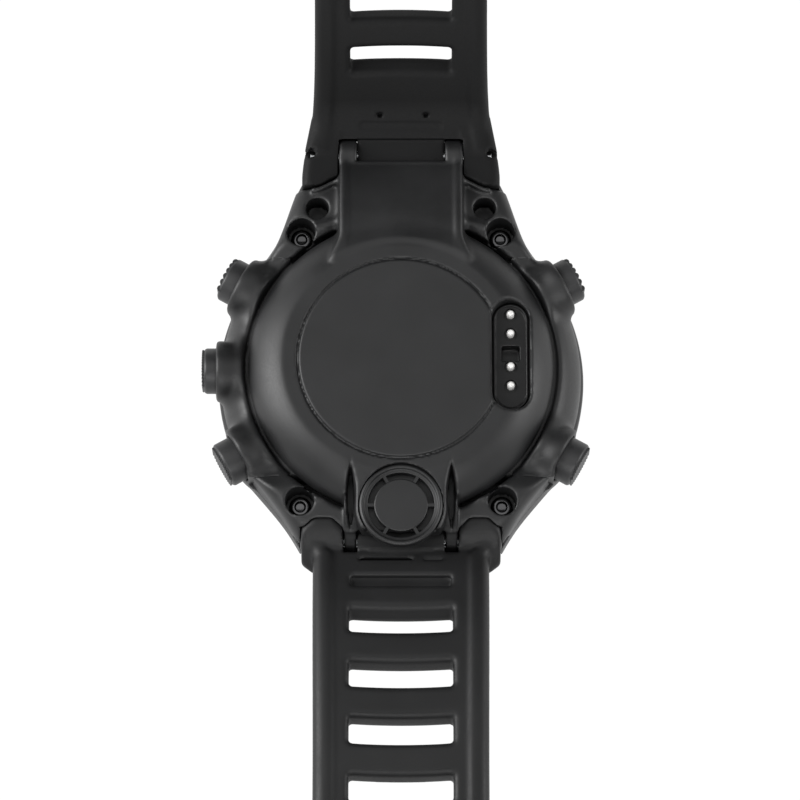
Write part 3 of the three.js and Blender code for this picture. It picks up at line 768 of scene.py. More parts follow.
def strap_seats(x, y, z):
    """Room for the roots of both straps."""
    top = from_bar(TOP_PIN, y, z) - top_root(x) - SEAT_GAP
    low = from_bar(LOW_PIN, y, z) - low_root(x) - SEAT_GAP
    behind = np.maximum(y - LOW_PIN.y, 5.5 - z)
    return np.minimum(top, np.maximum(np.minimum(low, behind), np.abs(x) - 13.5))


def pad_ridges(x, y, z):
    """Raised edges of the corner pads, beside the tongue, the sensor and the upper strap's root."""
    wide = np.abs(x)
    upper, lower, root = np.clip(wide, 8.6, 11.6), np.clip(wide, 7.4, 11.5), np.clip(wide, 8.6, 11.9)
    edge = np.hypot(wide - upper, y - 20.4 + 0.27 * (upper - 8.6))
    edge = np.minimum(edge, np.hypot(wide - lower, y + 19.0 - 0.15 * (lower - 7.4)))
    edge = np.minimum(edge, np.hypot(wide - root, y - 26.2 + 1.35 * ease((root - 8.2) / 3.8)) + 0.1)
    return np.hypot(edge, z - WALL_TOP_Z - 0.78) - 0.42


def screw_wells(x, y, z):
    """Wells over the four case screws."""
    spot = np.hypot(np.abs(x) - SCREW.x, np.abs(y) - SCREW.y) - SCREW_WELL["radius"]
    return np.maximum(spot, SCREW_WELL["floor"] - z)


def guards(x, y, z):
    """The five flared collars that the buttons stand in, and their bores."""
    solid, bore = 99.0, 99.0
    across = np.hypot(x, y)
    for side in SIDES:
        axis = PRESS_AXIS[side]
        out = x * axis.x + y * axis.y
        off = np.hypot(y * axis.x - x * axis.y, z - BUTTON_Z)
        flare = COLLAR["radius"] + COLLAR["flare"] * ease((out - 22.2) / 2.2)
        ends = np.maximum(out - COLLAR["end"], VALLEY_R + VALLEY_HALF - across)
        collar = np.maximum(meet(off - flare, ends, 0.5), COLLAR["foot"] - out)
        solid = join(solid, collar, 0.2)
        bore = np.minimum(bore, np.maximum(off - COLLAR["bore"], COLLAR["floor"] - out))
    return solid, bore


def middle_case_field(x, y, z):
    """Middle case: wall, lugs and guards, hollow inside and open under the rear cover."""
    wall = outer_wall(x, y, z)
    solid, bore = guards(x, y, z)
    body = join(wall, solid, 1.8)
    pads = np.minimum(np.minimum(np.abs(y) - PAD_Y, z - PAD_LOW_Z) - SEAM, solid)
    body = np.maximum(body, pads)
    body = carve(body, valley(x, y, z), 1.1)
    body = carve(body, strap_seats(x, y, z), 0.3)
    body = carve(body, bore, 0.25)
    r = np.hypot(x, y)
    body = np.maximum(body, np.maximum(CAVITY_R - r, WALL_LOW_Z + 0.1 - z))
    return np.maximum(body, np.minimum(VALLEY_R - r, z - VALLEY_Z))


def dome(x, y, z):
    """Rear cover's dome, without its disc."""
    r = np.hypot(x, y)
    across = np.maximum(r - FLAT_R, 0) / (DOME_R - FLAT_R)
    up = np.maximum(z - DOME_FOOT_Z, 0) / (FLAT_Z - DOME_FOOT_Z)
    swell = (across ** DOME_POWER + up ** DOME_POWER) ** (1 / DOME_POWER)
    return (swell - 1) * (FLAT_Z - DOME_FOOT_Z) * 0.8


def tongue(x, y, z):
    """Plate over the upper strap's spring bar, with an ear on each side of the notch."""
    wide = TONGUE_HALF + 0.9 * ease((18 - y) / 4.5)
    hollow = 0.25 * ease((7.7 - np.abs(x)) / 0.9) * ease((y - 14.5) / 4)
    top = FLAT_Z - hollow - 0.0165 * np.maximum(y - 15, 0) ** 2
    low = np.where(y > 26.5, 9.0 + 0.35 * np.maximum(y - 26.5, 0), PAD_LOW_Z)
    plate = meet(np.abs(x) - wide, z - top, 0.7)
    plate = np.maximum(np.maximum(plate, low - z), 10 - y)
    plate = meet(plate, y - TOP_PIN.y, 0.5)
    from_pin = from_bar(TOP_PIN, y, z)
    eye = meet(from_pin - TONGUE_EYE_R, np.abs(x) - TONGUE_HALF, 0.5)
    plate = join(plate, eye, 0.8)
    notch = np.maximum(np.abs(x) - NOTCH_HALF, np.minimum(TOP_PIN.y - 1.2 - y, from_pin - 1.65))
    return carve(plate, notch, 0.4)


def sensor_boss(x, y, z):
    """Platform that carries the round sensor cover."""
    down = np.maximum(SENSOR.y - y, 0)
    outline = np.hypot(np.abs(x), down) - BOSS_R
    top = z - (BOSS_Z + 0.45 * ease((y - SENSOR.y - 4) / 4))
    return np.maximum(meet(outline, top, 0.6), y + 12)


def ears(x, y, z):
    """Two ears that hold the lower spring bar."""
    start = Vector((-19.6, 13.4))  # inner end of an ear, in Y and Z
    along = Vector((LOW_PIN.y, LOW_PIN.z)) - start
    t = ((y - start.x) * along.x + (z - start.y) * along.y) / along.length_squared
    t = np.clip(t, 0, 1)
    bar = np.hypot(y - start.x - t * along.x, z - start.y - t * along.y) - EAR_R
    return meet(bar, np.abs(np.abs(x) - EAR_X) - EAR_HALF, 0.25)


def leaf_slots(x, y, z):
    """Narrow leaf-shaped recess on each side of the sensor."""
    bow = 15.4  # radius of each side of the leaf
    u, v = np.abs(x) - 6.75, y + 18.6
    outline = np.maximum(np.hypot(u - bow + 0.5, v), np.hypot(u + bow - 0.5, v)) - bow
    return np.maximum(outline, 12.5 - z)


def rear_cover_field(x, y, z):
    """Rear cover: dome, disc, tongue, corner pads and every recess in them."""
    r = np.hypot(x, y)
    wall = outer_wall(x, y, z)
    solid, _ = guards(x, y, z)
    wall = join(wall, pad_ridges(x, y, z), 0.7)
    pads = np.maximum(np.maximum(wall + 0.02, PAD_Y - np.abs(y)), PAD_LOW_Z - z)
    pads = np.maximum(pads, -solid)
    pads = np.maximum(pads, VALLEY_R - r)
    body = np.maximum(dome(x, y, z), VALLEY_Z + 0.05 - z)
    body = np.minimum(carve(pads, valley(x, y, z), 1.1), body)
    past_flat = ease((r - FLAT_R) / 1.4)
    body = join(body, np.maximum(sensor_boss(x, y, z), 12.6 - z), 0.02 + 0.7 * past_flat)
    body = carve(body, strap_seats(x, y, z), 0.3)
    body = join(body, tongue(x, y, z), 0.02 + 1.1 * past_flat)
    body = np.minimum(body, meet(r - DISC_R, np.abs(z - FLAT_Z) - BACK_Z + FLAT_Z, 0.25))
    groove = np.maximum(np.abs(r - DISC_R - 0.2) - 0.17, FLAT_Z - 0.22 - z)
    body = carve(body, groove, 0.1)
    root = from_bar(TOP_PIN, y, z) - top_root(x) - 0.12
    body = np.maximum(body, -np.maximum(root, TONGUE_HALF + ROOT_GAP - np.abs(x)))
    body = join(body, ears(x, y, z), 0.5)
    body = carve(body, leaf_slots(x, y, z), 0.45)
    port = pill(x - PORT.x, y - PORT.y, *PORT_HALF)
    body = carve(body, np.maximum(port, PORT_FLOOR_Z - z), 0.55)
    latch = soft_box(x - PORT.x, y - LATCH_Y, *LATCH_HALF, 0.3)
    body = np.maximum(body, -np.maximum(latch, LATCH_FLOOR_Z - z))
    seat = np.hypot(x, y - SENSOR.y) - COVER_R
    body = carve(body, np.maximum(seat, COVER_SEAT_Z - z), 0.12)
    body = carve(body, screw_wells(x, y, z), 0.4)
    blind = np.hypot(np.abs(x) - BLIND_HOLE["x"], y - BLIND_HOLE["y"]) - BLIND_HOLE["radius"]
    body = carve(body, np.maximum(blind, BLIND_HOLE["floor"] - z), 0.45)
    pins = np.minimum(from_bar(TOP_PIN, y, z), from_bar(LOW_PIN, y, z))
    return np.maximum(body, PIN_BORE_R - pins)


class DIVE_OT_rear_cover(bpy.types.Operator):
    """Rear cover: dome, disc, tongue, corner pads and the seats for port and sensor"""

    bl_idname = "dive.rear_cover"
    bl_label = "Rear Cover"

    def execute(self, context):
        step = context.scene.dive_shape.case_step / MM
        low, high = (-21.5, -26.5, 8.3), (21.5, 32.6, 17.1)
        cover = moulded("rear_cover_shell", rear_cover_field, low, high, step)
        dress(cover, MATERIALS["shell"])
        hand_over(cover, "case", "shell", "rear_cover")
        return {"FINISHED"}


class DIVE_OT_middle_case(bpy.types.Operator):
    """Middle case with its lugs and the five button guards"""

    bl_idname = "dive.middle_case"
    bl_label = "Middle Case"

    def execute(self, context):
        step = context.scene.dive_shape.case_step / MM
        low, high = (-25.2, -28, 5.8), (25.2, 27.4, 14.5)
        case = moulded("middle_case_shell", middle_case_field, low, high, step)
        dress(case, MATERIALS["shell"])
        hand_over(case, "case", "shell", "middle_case", *[f"button_guard_{side}" for side in SIDES])
        return {"FINISHED"}


class DIVE_OT_bezel(bpy.types.Operator):
    """Bezel ring at the front of the case"""

    bl_idname = "dive.bezel"
    bl_label = "Bezel"

    def execute(self, context):
        glass_seat, lip = 19.2, 17.6  # radii inside the ring
        section = [
            (0, glass_seat), (0, 23), (0.5, 24), (1.6, BEZEL_R - 0.3), (2.6, BEZEL_R),
            (4.9, BEZEL_R), (5.65, 24.45), (5.7, CAVITY_R), (3.1, CAVITY_R), (3.1, lip),
            (2.2, lip), (2.2, glass_seat), (0, glass_seat),
        ]
        bezel = lathe("bezel_ring", section, upright(), sides=256, radius=0.35)
        dress(bezel, MATERIALS["bezel"])
        hand_over(bezel, "case", "bezel", "bezel")
        return {"FINISHED"}


class DIVE_OT_screws(bpy.types.Operator):
    """Four case screws in the corner wells"""

    bl_idname = "dive.screws"
    bl_label = "Case Screws"

    def execute(self, context):
        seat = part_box("case_screw_1")[0].z / MM + 2.8
        section = [
            (seat - 2.7, 0), (seat - 2.7, 0.5), (seat - 2.3, 0.8), (seat - 0.4, 0.8),
            (seat - 0.4, 1.5), (seat + 0.1, 1.5), (seat + 0.5, 1.15), (seat + 0.55, 0.75),
            (seat + 0.1, 0.65), (seat, 0),
        ]
        screws = lathe("case_screws", section, upright(), sides=48, radius=0.12)
        grow(
            screws, grid_tree(), Width=2 * SCREW.x * MM, Height=2 * SCREW.y * MM,
            Material=MATERIALS["screw"])
        hand_over(screws, "case", "screw", *[f"case_screw_{i}" for i in range(1, 5)])
        return {"FINISHED"}


def plate_field(x, y, z):
    """Contact plate: rim, latch hole and a pit round each contact."""
    u, v = x - PORT.x, y - PORT.y
    edge = pill(u, v, 2.42, 7.52)
    rim = meet(edge, z - 14.95, 0.3)
    tray = np.maximum(pill(u, v, 2.0, 7.1), 14.7 - z)
    plate = np.maximum(carve(rim, tray, 0.25), 13.85 - z)
    plate = carve(plate, soft_box(u, y - LATCH_Y, 1.2, 1.05, 0.3), 0.2)
    pins = np.minimum.reduce([np.hypot(u, y - spot) - 0.78 for spot in CONTACTS])
    return carve(plate, np.maximum(pins, 14.25 - z), 0.15)


class DIVE_OT_port(bpy.types.Operator):
    """Contact plate and the four sprung charging contacts"""

    bl_idname = "dive.port"
    bl_label = "Charging Port"

    def execute(self, context):
        low, high = limits("contact_plate")
        plate = moulded("contact_plate_moulding", plate_field, low, high + Vector((0, 0, 0.3)), 0.11)
        dress(plate, MATERIALS["plate"])
        hand_over(plate, "case", "shell", "contact_plate")
        foot, tip = (corner.z for corner in limits("charging_contact_1"))
        section = [
            (foot, 0), (foot, 0.85), (foot + 0.5, 0.85), (foot + 0.5, 0.52), (tip - 0.35, 0.52),
            (tip, 0.3), (tip, 0),
        ]
        first = min(CONTACTS)
        pins = lathe("charging_contacts", section, upright(PORT.x, first, 0), sides=32, radius=0.2)
        ordered = sorted(CONTACTS)
        grow(
            pins, pairs_tree(), Inner_gap=(ordered[1] - ordered[0]) * MM,
            Outer_gap=(ordered[2] - ordered[0]) * MM, Material=MATERIALS["contact"])
        hand_over(pins, "case", "contact", *[f"charging_contact_{i}" for i in range(1, 5)])
        return {"FINISHED"}


class DIVE_OT_sensor(bpy.types.Operator):
    """Round sensor cover: ring, plate and the ribs across its water gap"""

    bl_idname = "dive.sensor"
    bl_label = "Sensor Cover"

    def execute(self, context):
        shape = context.scene.dive_shape
        ring = [
            (15.2, 4.45), (15.2, 5.58), (16.4, 5.58), (16.62, 5.3), (16.58, 5.05), (16.28, 4.9),
            (16.2, 4.45), (15.2, 4.45),
        ]
        plate = [(15.3, 0), (15.3, 3.6), (16.2, 3.6), (16.3, 3.45), (16.3, 0)]
        cover = lathe("sensor_cover_round", ring, upright(), sides=128, radius=0.12)
        disc = lathe("sensor_plate", plate, upright(), sides=128, radius=0.1)
        merged = bmesh.new()
        merged.from_mesh(cover.data)
        merged.from_mesh(disc.data)
        merged.to_mesh(cover.data)
        merged.free()
        bpy.data.objects.remove(disc)
        middle_z = 15.75 * MM
        cover.data.transform(Matrix.Translation((0, 0, -middle_z)))
        grow(
            cover, rib_tree(), Count=shape.rib_count, Radius=4.03 * MM, Length=1.1 * MM,
            Width=shape.rib_width, Depth=0.9 * MM, Material=MATERIALS["shell"])
        cover.data.transform(Matrix.Translation((0, SENSOR.y * MM, middle_z)))
        hand_over(cover, "case", "shell", "sensor_cover")
        return {"FINISHED"}


class DIVE_OT_buttons(bpy.types.Operator):
    """Five push buttons with stems and ridged ends"""

    bl_idname = "dive.buttons"
    bl_label = "Buttons"

    def execute(self, context):
        shape = context.scene.dive_shape
        tree = ridge_tree()
        for side in SIDES:
            node = f"button_{side}"
            face = reach(node, PRESS_AXIS[side])
            coarse = side.startswith("upper")
            count = shape.coarse_ridges if coarse else shape.fine_ridges
            pitch = (5.1 if coarse else 5.2) / count
            crest = 0.45 if coarse else 0.17
            section = [
                (17.3, 0), (17.3, 0.9), (17.7, 0.9), (17.7, 0.6), (18.1, 0.6), (18.1, 0.9),
                (24.5, 0.9), (24.5, 3.1), (face - 0.55, 3.1), (face - 0.25, 2.8), (face - 0.2, 0),
            ]
            cap = lathe(f"push_button_{side}", section, Matrix.Identity(4), sides=96, radius=0.25)
            grow(
                cap, tree, Count=count, Pitch=pitch * MM, Ridge_radius=crest * MM,
                Face_radius=2.85 * MM, Face=(face - crest) * MM, Material=MATERIALS["button"])
            cap.data.transform(radial(PRESS_AXIS[side]))
            hand_over(cap, node, "button", node)
        return {"FINISHED"}


class DIVE_OT_spring_bars(bpy.types.Operator):
    """Spring bars of both straps"""

    bl_idname = "dive.spring_bars"
    bl_label = "Spring Bars"

    def execute(self, context):
        for name, pin in (("spring_bar_upper", TOP_PIN), ("spring_bar_lower", LOW_PIN)):
            half = limits(name)[1].x
            section = [
                (-half, 0), (-half, 0.45), (1 - half, 0.45), (1.2 - half, 0.75), (half - 1.2, 0.75),
                (half - 1, 0.45), (half, 0.45), (half, 0),
            ]
            bar = lathe(f"{name}_pin", section, crosswise(0, pin.y, pin.z), sides=32, radius=0.12)
            dress(bar, MATERIALS["steel"])
            hand_over(bar, "case", "steel", name)
        return {"FINISHED"}


# ---- the straps ----------------------------------------------------------------------------------


def strap_line(plan):
    """Points along the middle of a strap: distance, y, z and heading."""
    rows = [(0.0, plan["start"][0], plan["start"][1], math.radians(plan["heading"]))]
    spacing = 0.4
    for length, turn in plan["runs"]:
        steps = max(1, round(length / spacing))
        for _ in range(steps):
            s, y, z, h = rows[-1]
            after = h + math.radians(turn) / steps
            mid = (h + after) / 2
            stride = length / steps
            rows.append((s + stride, y + stride * math.cos(mid), z + stride * math.sin(mid), after))
    line = np.array(rows)
    line[:, 1] *= plan["sign"]
    return line


def strap_place(line, sign, y, z):
    """Distance along the strap and height over its middle, for any point."""
    y, z = np.broadcast_arrays(y, z)
    flat_y, flat_z = y.ravel(), z.ravel()
    s, t = np.empty(flat_y.size), np.empty(flat_y.size)
    for start in range(0, flat_y.size, 20000):
        part = slice(start, start + 20000)
        dy = flat_y[part, None] - line[None, :, 1]
        dz = flat_z[part, None] - line[None, :, 2]
        near = np.argmin(dy * dy + dz * dz, axis=1)
        pick = np.arange(near.size)
        heading = line[near, 3]
        gap_y, gap_z = dy[pick, near] * sign, dz[pick, near]
        s[part] = line[near, 0] + gap_y * np.cos(heading) + gap_z * np.sin(heading)
        t[part] = gap_z * np.cos(heading) - gap_y * np.sin(heading)
    return s.reshape(y.shape), t.reshape(y.shape)


def band(x, t, half):
    """Strap section with rolled rails and a lower middle."""
    hollow = 0.32 * ease((half - 2.1 - np.abs(x)) / 1.1)
    faces = np.maximum(t - STRAP_T / 2 + hollow, -t - STRAP_T / 2 + 0.6 * hollow)
    return meet(np.abs(x) - half, faces, 1.9)


def slots(x, s, t, plan):
    """Cross openings, gently bowed. The side nearest the case leans, so they narrow underneath."""
    number = np.clip(np.round((s - plan["first"]) / SLOT["pitch"]), 0, plan["count"] - 1)
    bow = SLOT["bow"] * (1 - (x / SLOT["half"]) ** 2)
    along = s - plan["first"] - number * SLOT["pitch"] - bow
    lean = plan["lean"] + 0.45 * (number == 0)
    narrower = lean * np.clip(0.5 - t / STRAP_T, 0, 1) / 2
    return soft_box(x, along - narrower, SLOT["half"], SLOT["reach"] - narrower, SLOT["corner"])


def dent(x, s, t, at, half, reach, depth):
    """Shallow cross groove in the outer face."""
    return np.maximum(soft_box(x, s - at, half, reach, 0.45), STRAP_T / 2 - depth - t)


UPPER_LINE = strap_line(UPPER)
LOWER_LINE = strap_line(LOWER)


def upper_strap_field(x, y, z):
    """Upper strap: root with two lobes and a knuckle, slotted band, roll round the buckle bar."""
    s, t = strap_place(UPPER_LINE, 1, y, z)
    wide = np.abs(x)
    half = STRAP_HALF[0] + 1.8 * np.exp(-np.maximum(s + 3, -2) / 6)
    body = meet(band(x, t, half), -s - 0.4, 0.6)
    body = np.maximum(body, s - UPPER_LINE[-1, 0] - 0.6)
    from_pin, from_buckle = from_bar(TOP_PIN, y, z), from_bar(BAR, y, z)
    past_seat = np.maximum(y - 27.2, 0)
    flank = wide - 13.55 + 0.075 * past_seat + 0.0135 * past_seat ** 2
    lobe = np.maximum(meet(z - 13.3, flank, 1.4), from_pin - top_root(x))
    body = join(body, np.maximum(lobe, LOBES_FROM[0] - wide), 0.8)
    knuckle = np.maximum(from_pin - 1.5, wide - KNUCKLE_HALF)
    body = join(body, knuckle, 0.5)
    web = z - TOP_PIN.z + 2.75 + 0.27 * np.maximum(TOP_PIN.y - y, 0)
    body = np.minimum(body, np.maximum(np.maximum(web, from_pin - 4.3), wide - WEB_HALF))
    roll = meet(from_buckle - BUCKLE_ROLL_R, wide - 11.5, 0.8)
    body = join(body, roll, 0.8)
    middle_gap = np.maximum(wide - 5.8, BAR.y - 2.8 - y)
    between = np.maximum(np.abs(wide - 7.25) - 1.27, np.minimum(y - TOP_PIN.y, from_pin - 2.6))
    low_step = np.maximum(y - TOP_PIN.y - 2.0, TOP_PIN.z + 1.15 - z)
    under = np.maximum(wide - 6, np.minimum(y - TOP_PIN.y + 1.5, low_step))
    above_web = np.maximum(np.minimum(between, under), -web)
    body = carve(body, np.minimum(above_web, middle_gap), 0.2)
    body = carve(body, slots(x, s, t, UPPER), 0.9)
    body = carve(body, dent(x, s, t, 3.6, 5.5, 0.45, 0.35), 0.5)
    lever = np.minimum.reduce([np.hypot(x - u, s - v) for u, v in LEVER_HOLES]) - 0.36
    body = carve(body, np.maximum(lever, STRAP_T / 2 - 1.1 - t), 0.35)
    eyelet = np.maximum(np.hypot(wide - EYELET[0], y - TOP_PIN.y) - EYELET[1], TOP_PIN.z - z)
    body = carve(body, eyelet, 0.25)
    bores = np.minimum(from_pin - PIN_BORE_R, from_buckle - 1.0)
    return np.maximum(body, -bores)


def lower_strap_field(x, y, z):
    """Lower strap: root with two lobes, slotted band with a slit and a groove, rounded tip."""
    s, t = strap_place(LOWER_LINE, -1, y, z)
    wide = np.abs(x)
    half = STRAP_HALF[1] - 0.2 * ease((s - 4) / 30) + 1.6 * ease((3.3 - s) / 2.7)
    lip = ease((y + 25.6 - 0.013 * x * x) / 0.25) * ease((8.6 - wide) / 0.8)
    body = meet(band(x, t - 0.28 * lip * (t > 0), half), -s - 0.6, 0.6)
    last = LOWER_LINE[-1, 0] - TIP_LENGTH
    tip = (np.hypot(x / 11.6, np.maximum(s - last, 0) / TIP_LENGTH) - 1) * TIP_LENGTH
    body = meet(body, np.where(s > last, tip, -9.0), 1.6)
    from_pin = from_bar(LOW_PIN, y, z)
    crest = z - 12.95 + 0.075 * np.maximum(-y - 20, 0) ** 2
    lobe = meet(from_pin - low_root(x), crest, 0.5)
    lobe = meet(lobe, wide - 13.4, 0.6)
    body = join(body, np.maximum(lobe, LOBES_FROM[1] - wide), 0.7)
    body = join(body, np.maximum(from_pin - 2.5, wide - 5.8), 0.7)
    web = z - LOW_PIN.z + 2.2
    body = np.minimum(body, np.maximum(np.maximum(web, from_pin - 3.1), wide - WEB_HALF))
    beside = np.abs(wide - EAR_X) - 0.94
    around = np.minimum(from_pin - 2.1, LOW_PIN.y - y)
    behind = np.maximum(-25.6 - y, LOW_PIN.z - z)
    ear_room = np.maximum(beside, np.minimum(around, behind))
    body = carve(body, np.maximum(ear_room, -web), 0.2)
    body = carve(body, slots(x, s, t, LOWER), 0.9)
    body = carve(body, dent(x, s, t, 6.9, 6.7, 0.75, 1.1), 0.6)
    slit = np.minimum(
        soft_box(x + 2.0, s - 3.6, 3.6, 0.16, 0.12), soft_box(x - 4.3, s - 3.6, 1.2, 0.14, 0.1))
    body = carve(body, np.maximum(slit, STRAP_T / 2 - 1.2 - t), 0.3)
    return np.maximum(body, PIN_BORE_R - from_pin)


class DIVE_OT_straps(bpy.types.Operator):
    """Upper and lower rubber straps"""

    bl_idname = "dive.straps"
    bl_label = "Straps"

    def execute(self, context):
        step = context.scene.dive_shape.strap_step / MM
        for name, field, node, finish in (
            # The upper strap's finish is the darker copy of the rubber, with painted shade.
            ("upper_strap_rubber", upper_strap_field, "upper_strap", "upper strap"),
            ("lower_strap_rubber", lower_strap_field, "lower_strap", "strap"),
        ):
            low, high = limits(node)
            margin = Vector((0.5, 0.5, 0.5))
            strap = moulded(name, field, low - margin, high + margin, step)
            dress(strap, MATERIALS[finish])
            hand_over(strap, node, "strap", node)
        return {"FINISHED"}


class DIVE_OT_keepers(bpy.types.Operator):
    """Fixed and sliding keeper loops"""

    bl_idname = "dive.keepers"
    bl_label = "Keepers"

    def execute(self, context):
        for node, body in (("fixed_keeper", "upper_strap"), ("sliding_keeper", "sliding_keeper")):
            low, high = limits(node)
            centre, half = (low + high) / 2, (high - low) / 2

            def field(x, y, z):
                loop = soft_box(x, z - centre.z, half.x - 0.05, half.z - 0.05, 1.6)
                hole = soft_box(x, z - centre.z, half.x - 1.5, half.z - 1.5, 0.6)
                crown = 0.22 * ease(1 - np.abs(y - centre.y) / half.y)
                ring = np.maximum(loop + 0.22 - crown, -hole)
                return meet(ring, np.abs(y - centre.y) - half.y, 0.9)

            keeper = moulded(f"{node}_loop", field, low, high, 0.22)
            dress(keeper, MATERIALS["strap"])
            hand_over(keeper, body, "strap", node)
        return {"FINISHED"}


class DIVE_OT_buckle(bpy.types.Operator):
    """Buckle frame, its tongue and the bar that both turn on"""

    bl_idname = "dive.buckle"
    bl_label = "Buckle"

    def execute(self, context):
        low, high = limits("buckle_frame")
        centre, half = (low + high) / 2, (high - low) / 2

        def frame_field(x, y, z):
            loop = soft_box(x, y - centre.y, half.x, half.y, 3.2)
            gap = soft_box(x, y - centre.y + 6, 12.1, half.y + 3.4, 1.6)
            plate = meet(np.maximum(loop, -gap), np.abs(z - BAR.z) - half.z, 1.2)
            return np.maximum(plate, 0.98 - from_bar(BAR, y, z))

        loop = moulded("buckle_loop", frame_field, low, high, 0.2)
        dress(loop, MATERIALS["buckle"])
        hand_over(loop, "buckle_frame", "buckle", "buckle_frame")

        def tongue_field(x, y, z):
            along, up = y - BAR.y, z - BAR.z
            sag = -0.6 - 1.9 * ease(along / 9)
            blade = np.maximum(np.abs(up - sag) - (1.25 - 0.04 * along), along - 13.3)
            blade = np.maximum(blade, -along)
            blade = meet(blade, np.abs(x) - 5.5 + 0.06 * np.maximum(along - 4, 0), 0.9)
            eye = meet(np.hypot(along, up) - 2.0, np.abs(x) - 5.5, 0.6)
            return np.maximum(join(blade, eye, 1.0), 1.02 - np.hypot(along, up))

        low, high = limits("buckle_tongue")
        prong = moulded("buckle_prong", tongue_field, low, high, 0.18)
        dress(prong, MATERIALS["buckle"])
        hand_over(prong, "buckle_tongue", "buckle", "buckle_tongue")
        half_bar = limits("buckle_bar")[1].x
        section = [(-half_bar, 0), (-half_bar, 0.88), (half_bar, 0.88), (half_bar, 0)]
        bar = lathe("buckle_bar_pin", section, crosswise(0, BAR.y, BAR.z), sides=32, radius=0.2)
        dress(bar, MATERIALS["steel"])
        hand_over(bar, "upper_strap", "steel", "buckle_bar")
        return {"FINISHED"}


class DIVE_OT_inside(bpy.types.Operator):
    """Finishes of the inner pieces that stay as they are"""

    bl_idname = "dive.inside"
    bl_label = "Inner Pieces"

    def execute(self, context):
        for row in frame["record"]["subparts"]:
            dress(frame["nodes"][row["node"]], MATERIALS[row["material_slot"]])
        return {"FINISHED"}


# ---- stage ---------------------------------------------------------------------------------------
CAMERA_RISE = 74.5  # degrees above the floor
CAMERA_DISTANCE = 0.6
CAMERA_LENS = 200.9
CAMERA_SLIDE = (-0.00013, -0.00578)  # across and up, from the middle of the back
FLOOR_HALF = 4000
BACKDROP_HEIGHT = 600
LIGHTS = (  # name, place, aim, size and power
    ("overhead", (0, 0.07, 0.62), (0, 0.07, 0), (0.9, 0.46), 1.05),
    ("key", (-0.75, 0.12, 0.46), (0, 0, 0), (0.5, 0.7), 9.8),
    ("fill", (0.8, 0.02, 0.36), (0, 0, 0), (0.5, 0.4), 3.6),
    ("front", (0, -0.7, 0.62), (0, 0, 0), (0.9, 0.4), 4.5),
)


def area_light(name, place, aim, size, power):
    """Rectangular lamp that faces its aim."""
    data = bpy.data.lights.new(name, "AREA")
    data.shape = "RECTANGLE"
    data.size, data.size_y = size
    data.energy = power
    light = bpy.data.objects.new(name, data)
    bpy.context.scene.collection.objects.link(light)
    light.location = place
    light.rotation_euler = (Vector(aim) - Vector(place)).to_track_quat("-Z", "Y").to_euler()


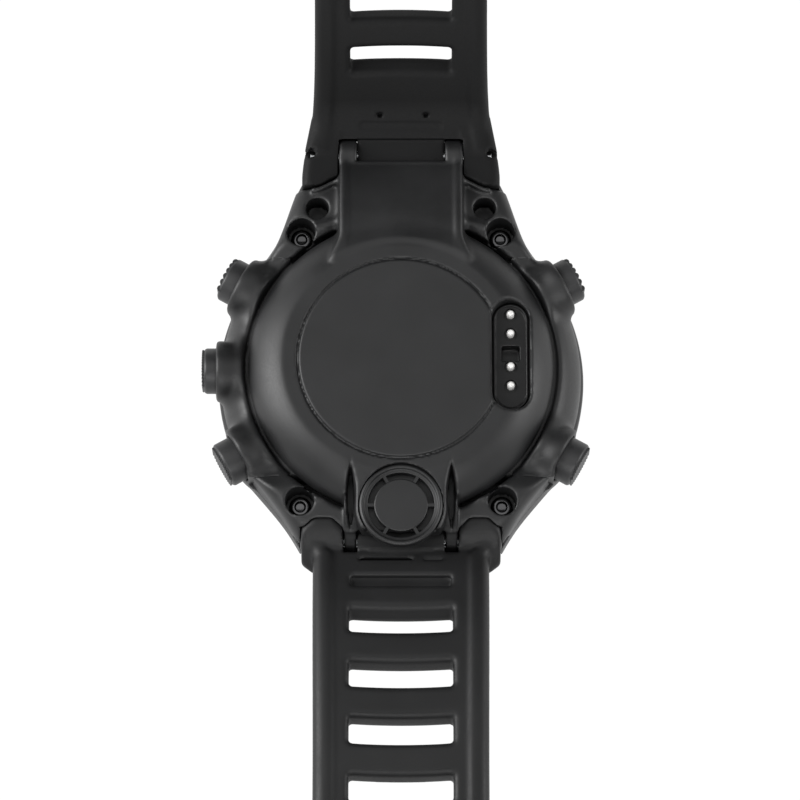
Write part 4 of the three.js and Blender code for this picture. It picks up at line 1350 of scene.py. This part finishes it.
class DIVE_OT_stage(bpy.types.Operator):
    """Floor with an upright backdrop, lights and camera"""

    bl_idname = "dive.stage"
    bl_label = "Stage"

    def execute(self, context):
        scene = context.scene
        back = Vector((0, 0, BACK_Z * MM))
        rise = math.radians(CAMERA_RISE)
        view = Vector((0, math.cos(rise), -math.sin(rise)))
        up = Vector((0, math.sin(rise), math.cos(rise)))
        data = bpy.data.cameras.new("camera")
        data.lens = CAMERA_LENS
        data.sensor_width = 36
        data.clip_end = 50
        camera = bpy.data.objects.new("camera", data)
        scene.collection.objects.link(camera)
        slide = Vector((CAMERA_SLIDE[0], 0, 0)) + up * CAMERA_SLIDE[1]
        camera.location = back + slide - view * CAMERA_DISTANCE
        camera.rotation_euler = (math.radians(90) - rise, 0, 0)
        scene.camera = camera

        corners = [(i * FLOOR_HALF, j * FLOOR_HALF) for i, j in ((-1, -1), (1, -1), (1, 1), (-1, 1))]
        points = [(x, y, z) for z in (0, BACKDROP_HEIGHT) for x, y in corners]
        backdrop = [(i, (i + 1) % 4, (i + 1) % 4 + 4, i + 4) for i in range(4)]
        floor = plain_object("floor", points, [(0, 1, 2, 3)] + backdrop)
        floor.data.transform(Matrix.Translation((0, 0, -0.0004)))
        paper, nodes, links, shader = material_nodes("pale floor")
        place = nodes.new("ShaderNodeTexCoord").outputs["Object"]
        shade = spread(nodes, links, noise(nodes, links, place, 0.3), 0.02, 0.03)
        links.new(shade, shader.inputs["Base Color"])
        shader.inputs["Roughness"].default_value = 0.9
        shader.inputs["Specular IOR Level"].default_value = 0.1
        shader.inputs["Emission Color"].default_value = (1, 1, 1, 1)
        shader.inputs["Emission Strength"].default_value = 1.0
        dress(floor, paper)

        world = bpy.data.worlds.new("studio")
        scene.world = world
        world.use_nodes = True
        sky = world.node_tree.nodes["Background"]
        sky.inputs["Color"].default_value = (1, 1, 1, 1)
        sky.inputs["Strength"].default_value = 0.08
        for light in LIGHTS:
            area_light(*light)
        scene.view_settings.view_transform = "Standard"
        return {"FINISHED"}


# ---- add-on --------------------------------------------------------------------------------------
STEPS = (
    DIVE_OT_stage, DIVE_OT_inside, DIVE_OT_rear_cover, DIVE_OT_middle_case, DIVE_OT_bezel,
    DIVE_OT_screws, DIVE_OT_port, DIVE_OT_sensor, DIVE_OT_buttons, DIVE_OT_spring_bars,
    DIVE_OT_straps, DIVE_OT_keepers, DIVE_OT_buckle,
)


class DIVE_PT_panel(bpy.types.Panel):
    """Lists the settings and the steps"""

    bl_label = "Dive Computer"
    bl_idname = "DIVE_PT_panel"
    bl_space_type = "VIEW_3D"
    bl_region_type = "UI"
    bl_category = "Dive Computer"

    def draw(self, context):
        for group in (context.scene.dive_finish, context.scene.dive_shape):
            box = self.layout.box()
            for name in group.bl_rna.properties.keys():
                if name not in ("rna_type", "name"):
                    box.prop(group, name)
        for step in STEPS:
            self.layout.operator(step.bl_idname)


CLASSES = (DIVE_PG_finish, DIVE_PG_shape, *STEPS, DIVE_PT_panel)


def register():
    for item in CLASSES:
        bpy.utils.register_class(item)
    bpy.types.Scene.dive_finish = PointerProperty(type=DIVE_PG_finish)
    bpy.types.Scene.dive_shape = PointerProperty(type=DIVE_PG_shape)


def unregister():
    del bpy.types.Scene.dive_shape
    del bpy.types.Scene.dive_finish
    for item in reversed(CLASSES):
        bpy.utils.unregister_class(item)


def main():
    register()
    make_materials()
    for step in STEPS:
        group, name = step.bl_idname.split(".")
        getattr(getattr(bpy.ops, group), name)()


if __name__ == "__main__":
    main()
